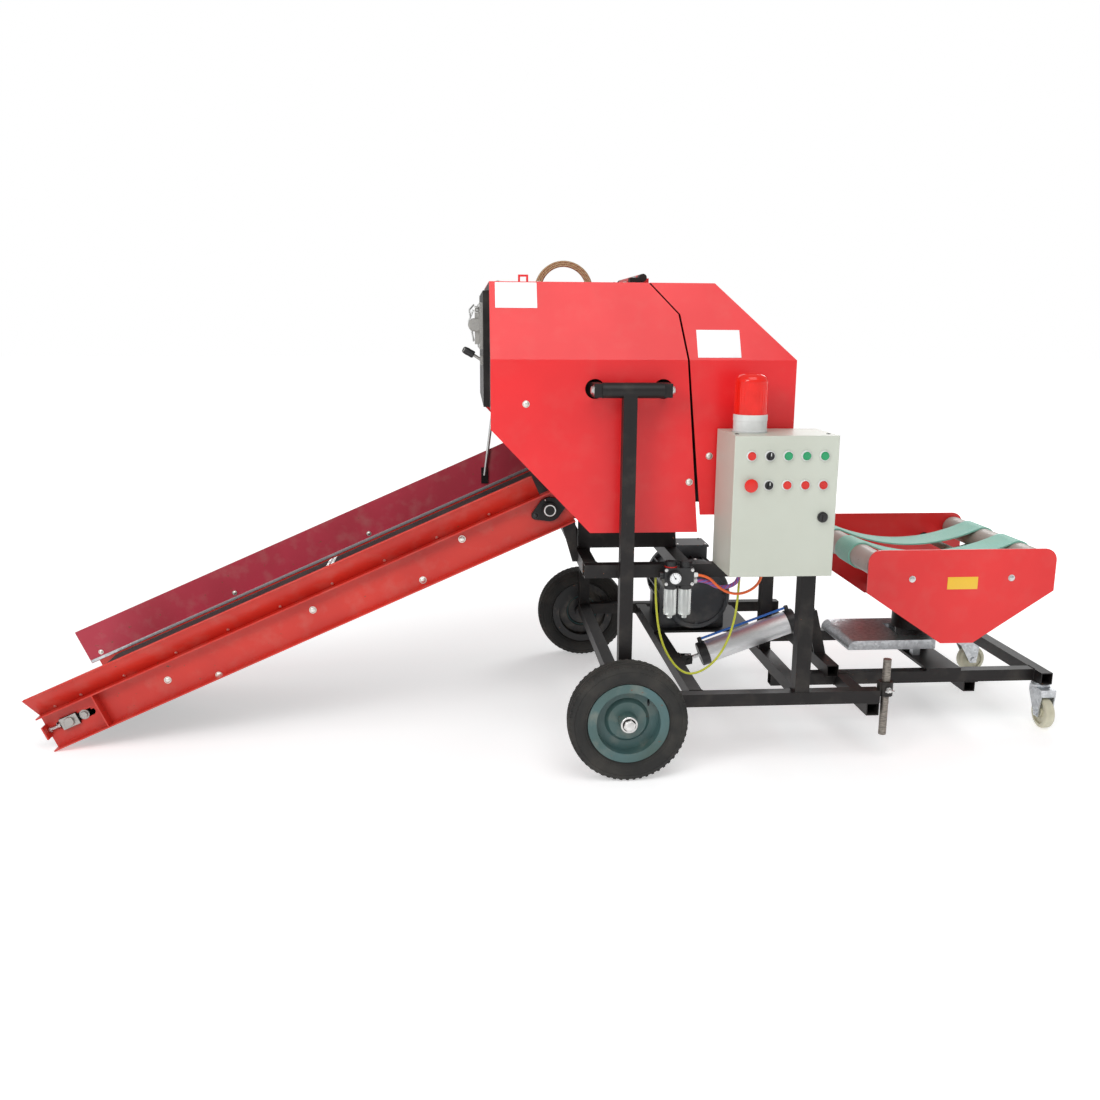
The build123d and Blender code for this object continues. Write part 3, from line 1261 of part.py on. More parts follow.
def caster_wheel(name):
    """Wheel of one caster with its bore."""
    y, dx, dy = CASTER_PLACES[name]
    axle_x = CASTER_BAR_X + dx * CASTER_TRAIL
    axle_y = y + dy * CASTER_TRAIL
    wheel_z = CASTER_WHEEL_D / 2
    half = CASTER_WHEEL_W / 2
    middle = at(axle_x, axle_y, wheel_z)
    axle_way = (dy, dx, 0)
    bore = CASTER_AXLE_D / 2 + RUNNING_GAP
    with BuildSketch(Plane(origin=middle, x_dir=axle_way, z_dir=(dx, -dy, 0))) as section:
        with Locations((0, bore)):
            Rectangle(CASTER_WHEEL_W, CASTER_WHEEL_D / 2 - bore, align=(Align.CENTER, Align.MIN))
        fillet(section.vertices().sort_by(Axis.Y)[-2:], CASTER_TREAD_R)
        with Locations((half, CASTER_HUB_D / 2), (CASTER_WEB_IN - half, CASTER_HUB_D / 2)):
            Rectangle(
                CASTER_WEB_IN,
                (CASTER_WEB_D - CASTER_HUB_D) / 2,
                align=(Align.MAX, Align.MIN),
                mode=Mode.SUBTRACT,
            )
    revolve(section.sketch, axis=Axis(middle, axle_way))


with BuildPart() as near_fork:
    caster_fork("near")
near_fork.part.label = "near_fork"
export_step(near_fork.part, "parts/near_fork.step")

with BuildPart() as near_caster_wheel:
    caster_wheel("near")
near_caster_wheel.part.label = "near_caster_wheel"
export_step(near_caster_wheel.part, "parts/near_caster_wheel.step")

with BuildPart() as far_fork:
    caster_fork("far")
far_fork.part.label = "far_fork"
export_step(far_fork.part, "parts/far_fork.step")

with BuildPart() as far_caster_wheel:
    caster_wheel("far")
far_caster_wheel.part.label = "far_caster_wheel"
export_step(far_caster_wheel.part, "parts/far_caster_wheel.step")

# Wrapping table
with BuildPart() as table_bearing:
    reach = LONGERON_Y + TUBE / 2
    seat_z = FRAME_BOTTOM + SEAT_T
    block((TABLE_X - SEAT_W / 2, -reach, FRAME_BOTTOM), (TABLE_X + SEAT_W / 2, reach, seat_z))
    round_bar((TABLE_X, 0, seat_z), (TABLE_X, 0, HOUSING_TOP), BEARING_D)
    round_bar((TABLE_X, 0, HOUSING_TOP), (TABLE_X, 0, TABLE_BOTTOM + SPINDLE_UP), SPINDLE_D)
table_bearing.part.label = "table_bearing"
export_step(table_bearing.part, "parts/table_bearing.step")

with BuildPart() as drive_cover:
    cover_half = COVER_W / 2
    for inset, mode in ((0.0, Mode.ADD), (SHEET, Mode.SUBTRACT)):
        with BuildSketch(side_plane(cover_half - inset)) as section:
            with Locations((COVER_START + inset, COVER_TOP - inset)):
                Rectangle(COVER_END - COVER_START, COVER_SKIRT, align=(Align.MIN, Align.MAX))
            fillet(section.vertices().sort_by(Axis.X)[:2].sort_by(Axis.Y)[-1], COVER_ROUND - inset)
        extrude(section.sketch, amount=COVER_W - 2 * inset, mode=mode)
    block(
        (TABLE_X - COVER_NOTCH, -HUB_FLANGE_D / 2, COVER_TOP - COVER_SKIRT),
        (COVER_END, HUB_FLANGE_D / 2, COVER_TOP),
        Mode.SUBTRACT,
    )
    for y in (COVER_LEG_IN - cover_half, cover_half - COVER_LEG_IN):
        block(
            (TABLE_X - COVER_LEG_X - COVER_LEG_W / 2, y - COVER_LEG_W / 2, FRAME_BOTTOM + SEAT_T),
            (TABLE_X - COVER_LEG_X + COVER_LEG_W / 2, y + COVER_LEG_W / 2, COVER_TOP - SHEET),
        )
drive_cover.part.label = "drive_cover"
export_step(drive_cover.part, "parts/drive_cover.step")

with BuildPart() as table_base:
    inner = TABLE_W / 2 - TABLE_PLATE_T
    base_z = TABLE_BOTTOM + SPINDLE_UP
    round_bar((TABLE_X, 0, HOUSING_TOP + HUB_GAP), (TABLE_X, 0, base_z + TUBE / 2), HUB_FLANGE_D)
    round_bar(
        (TABLE_X, 0, HOUSING_TOP + HUB_GAP),
        (TABLE_X, 0, base_z),
        SPINDLE_D + 2 * RUNNING_GAP,
        mode=Mode.SUBTRACT,
    )
    for x in (TABLE_X - BASE_TUBE_X, TABLE_X + BASE_TUBE_X):
        square_tube((x, -inner, base_z + TUBE / 2), (x, inner, base_z + TUBE / 2))
table_base.part.label = "table_base"
export_step(table_base.part, "parts/table_base.step")

with BuildPart() as table_plates:
    half_l = TABLE_L / 2
    half_f = TABLE_FOOT_W / 2
    outline = [(TABLE_X - half_l, TABLE_SHOULDER), (TABLE_X - half_f, TABLE_BOTTOM)]
    outline += [(TABLE_X + half_f, TABLE_BOTTOM), (TABLE_X + half_l, TABLE_SHOULDER)]
    outline += [(TABLE_X + half_l, TABLE_TOP), (TABLE_X - half_l, TABLE_TOP)]
    for side in SIDES:
        outer = side * TABLE_W / 2
        inner = side * (TABLE_W / 2 - TABLE_PLATE_T)
        side_plate(outline, min(inner, outer), max(inner, outer))
    corners = table_plates.edges().filter_by(Axis.Y).group_by(Axis.Z)[-1]
    fillet(corners, radius=TABLE_ROUND)
table_plates.part.label = "table_plates"
export_step(table_plates.part, "parts/table_plates.step")

with BuildPart() as table_rollers:
    inner = TABLE_W / 2 - TABLE_PLATE_T
    for side in SIDES:
        x = TABLE_X + side * TABLE_ROLLER_X
        tie_x = TABLE_X + side * TIE_X
        face = inner - ROLLER_END
        round_bar((x, -face, TABLE_ROLLER_Z), (x, face, TABLE_ROLLER_Z), TABLE_ROLLER_D)
        round_bar((x, -inner, TABLE_ROLLER_Z), (x, inner, TABLE_ROLLER_Z), TIE_D)
        round_bar((tie_x, -inner, TIE_Z), (tie_x, inner, TIE_Z), TIE_D)
table_rollers.part.label = "table_rollers"
export_step(table_rollers.part, "parts/table_rollers.step")


def belt_outline(radius):
    """Side-view wire of a sagging belt loop round the table's two rollers."""
    top = radians(TABLE_SAG_TOP)
    low = radians(TABLE_SAG_LOW)
    left = TABLE_X - TABLE_ROLLER_X
    right = TABLE_X + TABLE_ROLLER_X
    z = TABLE_ROLLER_Z
    t0 = (left + radius * sin(top), z + radius * cos(top))
    t1 = (right - radius * sin(top), z + radius * cos(top))
    l0 = (left - radius * sin(low), z - radius * cos(low))
    l1 = (right + radius * sin(low), z - radius * cos(low))
    top_sag = (t1[0] - t0[0]) / 2 * tan(top / 2)
    low_sag = (l1[0] - l0[0]) / 2 * tan(low / 2)
    ThreePointArc(t0, (TABLE_X, t0[1] - top_sag), t1)
    ThreePointArc(t1, (right + radius, z), l1)
    ThreePointArc(l1, (TABLE_X, l0[1] - low_sag), l0)
    ThreePointArc(l0, (left - radius, z), t0)


with BuildPart() as table_belts:
    for y in TABLE_BELT_Y:
        with BuildSketch(side_plane(y + TABLE_BELT_W / 2)) as loop:
            with BuildLine() as outer_line:
                belt_outline(TABLE_ROLLER_D / 2 + BELT_SLACK + TABLE_BELT_T)
            make_face()
            offset(amount=-TABLE_BELT_T, mode=Mode.SUBTRACT)
        extrude(loop.sketch, amount=TABLE_BELT_W)
table_belts.part.label = "table_belts"
export_step(table_belts.part, "parts/table_belts.step")

# Hanging leads and the air hose
with BuildPart() as earth_lead:
    lead(
        [
            (97, -MID_BEAM_Y, MID_BEAM_TOP - TUBE),
            (97, -MID_BEAM_Y, 530),
            (108, LEAD_Y + 2, 402),
            (155, LEAD_Y, 313),
            (209, LEAD_Y, 280),
            (279, LEAD_Y, 317),
            (325, LEAD_Y, 399),
            (347, LEAD_Y, 510),
            (347, LEAD_Y, CABINET_BOTTOM),
        ],
        EARTH_LEAD_D,
    )
earth_lead.part.label = "earth_lead"
export_step(earth_lead.part, "parts/earth_lead.step")

with BuildPart() as air_hose:
    hose_y = AIR_AXIS_Y - 14
    lead(
        [
            (AIR_UNIT_END, hose_y, 606),
            (AIR_UNIT_END + 40, hose_y, 606),
            (280, hose_y - 10, 562),
            (330, hose_y - 11, 545),
            (378, hose_y - 10, 560),
            (405, hose_y - 10, 595),
            (405, hose_y - 10, CABINET_BOTTOM),
        ],
        AIR_HOSE_D,
    )
air_hose.part.label = "air_hose"
export_step(air_hose.part, "parts/air_hose.step")

with BuildPart() as cable_bundle:
    bundle_y = AIR_AXIS_Y - 3
    lead(
        [
            (AIR_UNIT_END, bundle_y, 587),
            (AIR_UNIT_END + 40, bundle_y, 587),
            (275, bundle_y, 563),
            (318, bundle_y, 566),
            (343, bundle_y, 590),
            (343, bundle_y, CABINET_BOTTOM),
        ],
        CABLE_BUNDLE_D,
    )
cable_bundle.part.label = "cable_bundle"
export_step(cable_bundle.part, "parts/cable_bundle.step")
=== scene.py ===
"""Looks of the stationary silage round baler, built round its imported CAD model.

Sizes in the classes are millimetres measured from the axle's middle, as in the part's source.
place() turns them into metres of the shared frame.
"""
from __future__ import annotations

import json
import logging
import math
from collections.abc import Sequence
from dataclasses import dataclass
from enum import Enum

import bmesh
import bpy
from mathutils import Matrix, Vector

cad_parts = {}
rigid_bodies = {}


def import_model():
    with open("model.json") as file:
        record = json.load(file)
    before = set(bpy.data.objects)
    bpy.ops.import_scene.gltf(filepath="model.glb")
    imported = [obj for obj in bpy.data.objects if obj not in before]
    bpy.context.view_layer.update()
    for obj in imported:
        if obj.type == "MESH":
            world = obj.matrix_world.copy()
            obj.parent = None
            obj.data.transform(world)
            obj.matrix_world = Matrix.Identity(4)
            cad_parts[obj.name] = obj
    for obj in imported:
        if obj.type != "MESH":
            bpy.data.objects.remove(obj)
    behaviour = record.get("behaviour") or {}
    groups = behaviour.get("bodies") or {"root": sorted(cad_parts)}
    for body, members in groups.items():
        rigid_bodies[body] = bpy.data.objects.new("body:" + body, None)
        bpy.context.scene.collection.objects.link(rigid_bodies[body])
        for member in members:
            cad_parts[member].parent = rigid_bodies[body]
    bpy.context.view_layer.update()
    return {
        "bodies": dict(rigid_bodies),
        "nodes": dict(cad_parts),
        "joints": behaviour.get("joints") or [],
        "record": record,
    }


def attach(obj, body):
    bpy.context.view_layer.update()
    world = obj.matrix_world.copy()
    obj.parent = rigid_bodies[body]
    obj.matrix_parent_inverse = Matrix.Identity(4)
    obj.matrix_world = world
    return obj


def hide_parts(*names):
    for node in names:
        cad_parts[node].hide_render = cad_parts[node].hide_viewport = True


LOG = logging.getLogger("round_baler")
AXLE_X = 171.4
AXLE_Y = 16.75
MM = 0.001
RGB = tuple[float, float, float]
Point = tuple[float, float, float]
Profile = Sequence[tuple[float, float]]
DUST: RGB = (0.42, 0.37, 0.30)
RUST: RGB = (0.16, 0.06, 0.025)
UP: Point = (0.0, 0.0, 1.0)
FAR: Point = (0.0, 1.0, 0.0)
NEAR: Point = (0.0, -1.0, 0.0)
SIDES = (-1, 1)


def place(x: float, y: float, z: float) -> Vector:
    """Point of the shared frame, in metres, for millimetres from the axle's middle."""
    return Vector((x + AXLE_X, y + AXLE_Y, z)) * MM


def rectangle(low: tuple[float, float], high: tuple[float, float]) -> list[tuple[float, float]]:
    """Corners of a rectangle in order."""
    return [low, (high[0], low[1]), high, (low[0], high[1])]


def linked(name: str, data: bpy.types.ID) -> bpy.types.Object:
    """New object in the scene.

    Args:
        name: Name of the object.
        data: Mesh, curve, lamp or camera that it shows.

    Returns:
        The object.
    """
    made = bpy.data.objects.new(name, data)
    bpy.context.scene.collection.objects.link(made)
    return made


def plain_mesh(carrier: bpy.types.Object) -> bpy.types.Mesh:
    """Mesh that an object shows. The object itself is removed.

    Args:
        carrier: Object with a curve or a modifier.

    Returns:
        A new mesh.
    """
    graph = bpy.context.evaluated_depsgraph_get()
    made = bpy.data.meshes.new_from_object(carrier.evaluated_get(graph))
    bpy.data.objects.remove(carrier)
    return made


class Body(str, Enum):
    """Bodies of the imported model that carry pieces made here."""

    FRAME = "frame"
    NEAR_WHEEL = "near_wheel"
    FAR_WHEEL = "far_wheel"
    GATE = "gate"
    TABLE = "wrapping_table"
    DOOR = "cabinet_front"
    NEAR_FORK = "near_caster_fork"
    FAR_FORK = "far_caster_fork"


class Signal:
    """One socket of a node tree that takes part in Python sums."""

    def __init__(self, graph: Graph, socket: bpy.types.NodeSocket) -> None:
        """Keeps the socket and the tree that it belongs to."""
        self.graph = graph
        self.socket = socket

    def __add__(self, other: Signal | float) -> Signal:
        """Sum of two values."""
        return self.graph.maths("ADD", self, other)

    __radd__ = __add__

    def __mul__(self, other: Signal | float) -> Signal:
        """Product of two values."""
        return self.graph.maths("MULTIPLY", self, other)

    __rmul__ = __mul__

    def __sub__(self, other: Signal | float) -> Signal:
        """Difference of two values."""
        return self.graph.maths("SUBTRACT", self, other)

    def __rsub__(self, other: float) -> Signal:
        """Difference of a number and this value."""
        return self.graph.maths("SUBTRACT", other, self)

    def between(self, low: float, high: float) -> Signal:
        """Share of the way from low to high, held within 0 and 1."""
        sockets = {"Value": self, "From Min": low, "From Max": high}
        return self.graph.signal("ShaderNodeMapRange", {"clamp": True}, sockets)


class Graph:
    """Node tree of a material, the surround or a pattern."""

    def __init__(self, tree: bpy.types.NodeTree) -> None:
        """Keeps the tree."""
        self.tree = tree

    def node(
        self,
        kind: str,
        settings: dict[str, object] | None = None,
        sockets: dict[str | int, object] | None = None,
    ) -> bpy.types.Node:
        """Adds a node, sets its options first and then feeds its sockets.

        Args:
            kind: Blender's type of the node.
            settings: Options by name.
            sockets: Values or links by the socket's name or number, or a list of links for one socket.

        Returns:
            The new node.
        """
        made = self.tree.nodes.new(kind)
        for name, value in (settings or {}).items():
            setattr(made, name, value)
        for name, value in (sockets or {}).items():
            for source in value if isinstance(value, list) else [value]:
                self.feed(made.inputs[name], source)
        return made

    def signal(
        self,
        kind: str,
        settings: dict[str, object] | None = None,
        sockets: dict[str | int, object] | None = None,
        output: str | int = 0,
    ) -> Signal:
        """Adds a node and gives one of its outputs."""
        return Signal(self, self.node(kind, settings, sockets).outputs[output])

    def feed(self, target: bpy.types.NodeSocket, value: object) -> None:
        """Links or sets one input socket.

        Args:
            target: Socket to feed.
            value: A signal, a socket, a number, a tuple or a material.
        """
        if isinstance(value, Signal):
            value = value.socket
        if isinstance(value, bpy.types.NodeSocket):
            self.tree.links.new(value, target)
        elif isinstance(value, tuple) and target.type == "RGBA":
            target.default_value = (*value, 1.0)
        else:
            target.default_value = value

    def maths(self, operation: str, first: Signal | float, second: Signal | float = 0.0) -> Signal:
        """Result of one Math node."""
        return self.signal("ShaderNodeMath", {"operation": operation}, {0: first, 1: second})

    def hypot(self, first: Signal, second: Signal) -> Signal:
        """Length of two sides at right angles."""
        return self.maths("SQRT", first * first + second * second)


class Shader(Graph):
    """Node tree of one material."""

    def __init__(self, name: str) -> None:
        """Makes an empty material.

        Args:
            name: Name of the material.
        """
        self.material = bpy.data.materials.new(name)
        self.material.use_nodes = True
        super().__init__(self.material.node_tree)
        self.tree.nodes.clear()

    def position(self, scale: Point = (1.0, 1.0, 1.0)) -> Signal:
        """Place on the piece, stretched by a scale."""
        spot = self.signal("ShaderNodeTexCoord", output="Object")
        return self.signal("ShaderNodeMapping", None, {"Vector": spot, "Scale": scale})

    def split(self, spot: Signal) -> list[Signal]:
        """Three parts of a vector."""
        made = self.node("ShaderNodeSeparateXYZ", None, {0: spot})
        return [Signal(self, socket) for socket in made.outputs]

    def noise(self, spot: Signal, scale: float, detail: float) -> Signal:
        """Cloudy noise from 0 to 1."""
        return self.signal("ShaderNodeTexNoise", None, {"Vector": spot, "Scale": scale, "Detail": detail})

    def cells(self, spot: Signal, scale: float) -> Signal:
        """One random shade for each cell of a crystal pattern."""
        crystal = self.signal("ShaderNodeTexVoronoi", None, {"Vector": spot, "Scale": scale}, "Color")
        return self.signal("ShaderNodeSeparateColor", None, {0: crystal})

    def blend(self, share: Signal, first: RGB | Signal, second: RGB | Signal) -> Signal:
        """Colour between two others."""
        return self.signal("ShaderNodeMix", {"data_type": "RGBA"}, {0: share, 6: first, 7: second}, 2)

    def bump(self, height: Signal, depth: float, strength: float) -> Signal:
        """Normal of a surface with small heights."""
        sockets = {"Height": height, "Distance": depth, "Strength": strength}
        return self.signal("ShaderNodeBump", None, sockets)

    def surface(self, sockets: dict[str | int, object]) -> bpy.types.Material:
        """Closes the material with its surface shader.

        Args:
            sockets: Values or links of the surface shader by name.

        Returns:
            The finished material.
        """
        made = self.signal("ShaderNodeBsdfPrincipled", None, sockets)
        self.node("ShaderNodeOutputMaterial", None, {"Surface": made})
        return self.material


@dataclass(frozen=True)
class Paint:
    """Sprayed paint with mottling, orange peel, settled dust and a few chips.

    Attributes:
        name: Name of the material.
        colour: Colour of the coat.
        shade: Colour of its deeper patches.
        roughness: Roughness of the clean coat.
        dust: Share of dust on the dusty patches.
        chips: Share of the surface that is chipped.
        coat: Weight of the clear gloss.
        mirror: Level of the coat's own reflection.
    """

    name: str
    colour: RGB
    shade: RGB
    roughness: float = 0.34
    dust: float = 0.12
    chips: float = 0.0
    coat: float = 0.25
    mirror: float = 0.5

    def tint(self, shader: Shader, spot: Signal, patch: Signal) -> Signal:
        """Colour of the clean coat."""
        return shader.blend(patch, self.colour, self.shade)

    def build(self) -> bpy.types.Material:
        """Makes the material.

        Returns:
            The material.
        """
        shader = Shader(self.name)
        spot = shader.position()
        patch = shader.noise(spot, 4.0, 5.0).between(0.32, 0.72)
        colour = self.tint(shader, spot, patch)
        dusty = shader.noise(spot, 17.0, 7.0).between(0.5, 0.78) * self.dust
        colour = shader.blend(dusty, colour, DUST)
        if self.chips > 0:
            chip = shader.noise(spot, 70.0, 6.0).between(0.74 - self.chips, 0.76 - self.chips)
            colour = shader.blend(chip, colour, RUST)
        peel = shader.noise(spot, 340.0, 2.0)
        return shader.surface(
            {
                "Base Color": colour,
                "Roughness": patch * 0.07 + dusty * 0.6 + self.roughness,
                "Specular IOR Level": self.mirror,
                "Coat Weight": self.coat,
                "Coat Roughness": 0.12,
                "Normal": shader.bump(peel, 0.0004, 0.22),
            }
        )


@dataclass(frozen=True)
class RimPaint(Paint):
    """Paint of a road wheel's rim: the coat outside, and black painted shade inside its dish, where the
    wheel's inner side lies in shade.

    Attributes:
        inside: Colour of the inner side, a painted shade.
        middle: Distance from the machine's middle plane to the rim's middle, in metres.
        hub: Radius at which the dish steps inwards, in metres.
        axle: Height of the axle, in metres.
        dish: Depth of the step, in metres.
    """

    inside: RGB = (0.010, 0.010, 0.011)
    middle: float = 0.6205
    hub: float = 0.057
    axle: float = 0.18
    dish: float = 0.012

    def tint(self, shader: Shader, spot: Signal, patch: Signal) -> Signal:
        """Colour of the clean coat outside the dish, with the black painted shade inside it.

        Args:
            shader: Tree of the material.
            spot: Place on the piece.
            patch: Share of the deeper shade.

        Returns:
            The colour.
        """
        x, y, z = shader.split(spot)
        reach = shader.hypot(x - AXLE_X * MM, z - self.axle)
        step = reach.between(self.hub - 0.0007, self.hub + 0.0007) * -self.dish + 0.005
        across = shader.maths("ABSOLUTE", y - AXLE_Y * MM) - self.middle
        # the inner side of the rim gets the black of the painted shade
        outside = (across - step).between(-0.0005, 0.0005)
        return shader.blend(outside, self.inside, super().tint(shader, spot, patch))


@dataclass(frozen=True)
class Steel:
    """Bare or plated steel.

    Attributes:
        name: Name of the material.
        colour: Colour of the metal.
        shade: Colour of its darker patches.
        roughness: Roughness of the clean metal.
        spangle: Crystals a metre of a zinc coat, or 0 for none.
        grain: Stretch of the brushing along each axis.
        rust: Share of rust.
    """

    name: str
    colour: RGB
    shade: RGB
    roughness: float = 0.32
    spangle: float = 0.0
    grain: Point = (1.0, 1.0, 1.0)
    rust: float = 0.0

    def build(self) -> bpy.types.Material:
        """Makes the material.

        Returns:
            The material.
        """
        shader = Shader(self.name)
        spot = shader.position()
        if self.spangle > 0:
            mark = shader.cells(spot, self.spangle)
        else:
            mark = shader.noise(shader.position(self.grain), 60.0, 4.0).between(0.3, 0.7)
        colour = shader.blend(mark, self.colour, self.shade)
        rusty = shader.noise(spot, 26.0, 8.0).between(0.78 - 0.5 * self.rust, 0.95 - 0.5 * self.rust)
        cover = min(1.0, 3 * self.rust)
        colour = shader.blend(rusty * cover, colour, RUST)
        return shader.surface(
            {
                "Base Color": colour,
                "Metallic": 1.0 - rusty * cover,
                "Roughness": mark * 0.12 + rusty * 0.4 + self.roughness,
                "Normal": shader.bump(mark, 0.0003, 0.2),
            }
        )


@dataclass(frozen=True)
class Rubber:
    """Rubber or coated belting with a fine weave or grain.

    Attributes:
        name: Name of the material.
        colour: Colour of the rubber.
        shade: Colour of worn or dusty patches.
        roughness: Roughness.
        weave: Threads a metre, or 0 for a moulded skin.
    """

    name: str
    colour: RGB
    shade: RGB
    roughness: float = 0.6
    weave: float = 0.0

    def build(self) -> bpy.types.Material:
        """Makes the material.

        Returns:
            The material.
        """
        shader = Shader(self.name)
        spot = shader.position()
        patch = shader.noise(spot, 11.0, 7.0).between(0.4, 0.75)
        colour = shader.blend(patch, self.colour, self.shade)
        height = shader.noise(spot, 520.0, 3.0)
        if self.weave > 0:
            for turn in ("X", "Y"):
                settings, sockets = {"bands_direction": turn}, {"Vector": spot, "Scale": self.weave}
                height = height * 0.6 + shader.signal("ShaderNodeTexWave", settings, sockets, 1)
        return shader.surface(
            {
                "Base Color": colour,
                "Roughness": patch * 0.15 + self.roughness,
                "Normal": shader.bump(height, 0.0005, 0.3),
            }
        )


@dataclass(frozen=True)
class Plastic:
    """Moulded plastic, opaque or clear.

    Attributes:
        name: Name of the material.
        colour: Colour of the plastic.
        roughness: Roughness of its skin.
        clear: Share of light that passes through.
        painted_glow: Strength of a painted glow that brightens the piece.
    """

    name: str
    colour: RGB
    roughness: float = 0.28
    clear: float = 0.0
    painted_glow: float = 0.0

    def build(self) -> bpy.types.Material:
        """Makes the material.

        Returns:
            The material.
        """
        shader = Shader(self.name)
        spot = shader.position()
        patch = shader.noise(spot, 30.0, 4.0).between(0.35, 0.75)
        dark = tuple(0.82 * part for part in self.colour)
        skin = shader.noise(spot, 900.0, 2.0)
        sockets: dict[str | int, object] = {
            "Base Color": shader.blend(patch, self.colour, dark),
            "Roughness": patch * 0.08 + self.roughness,
            "Transmission Weight": self.clear,
            "IOR": 1.49,
            "Normal": shader.bump(skin, 0.0002, 0.15),
        }
        # the emission is a painted glow that brightens the piece
        if self.painted_glow > 0:
            sockets["Emission Color"] = self.colour
            sockets["Emission Strength"] = self.painted_glow
        return shader.surface(sockets)


@dataclass(frozen=True)
class Twine:
    """Twisted strands of the baling twine or of a cable bundle.

    Attributes:
        name: Name of the material.
        colour: Colour of the strands.
        shade: Colour between the strands: for the twine a painted shade in the grooves, for the cable
            bundle the second colour of its strands.
        turns: Twists over the whole length.
        roughness: Roughness of the strands.
    """

    name: str
    colour: RGB
    shade: RGB
    turns: float = 260.0
    roughness: float = 0.9

    def build(self) -> bpy.types.Material:
        """Makes the material.

        Returns:
            The material.
        """
        shader = Shader(self.name)
        spot = shader.position()
        around = shader.signal("ShaderNodeTexCoord", output="UV")
        sockets = {"Vector": around, "Scale": (self.turns, 3.0, 1.0)}
        lay = shader.signal("ShaderNodeMapping", None, sockets)
        settings = {"wave_type": "BANDS", "bands_direction": "DIAGONAL"}
        strand = shader.signal("ShaderNodeTexWave", settings, {"Vector": lay, "Scale": 0.6}, 1)
        fibre = shader.noise(spot, 700.0, 5.0)
        # between the strands the colour goes to shade: painted shade in the twine's grooves, the second
        # strand colour in the cable bundle
        colour = shader.blend(strand * 0.7 + fibre * 0.3, self.shade, self.colour)
        height = strand + fibre * 0.5
        return shader.surface(
            {"Base Color": colour, "Roughness": self.roughness, "Normal": shader.bump(height, 0.002, 0.8)}
        )


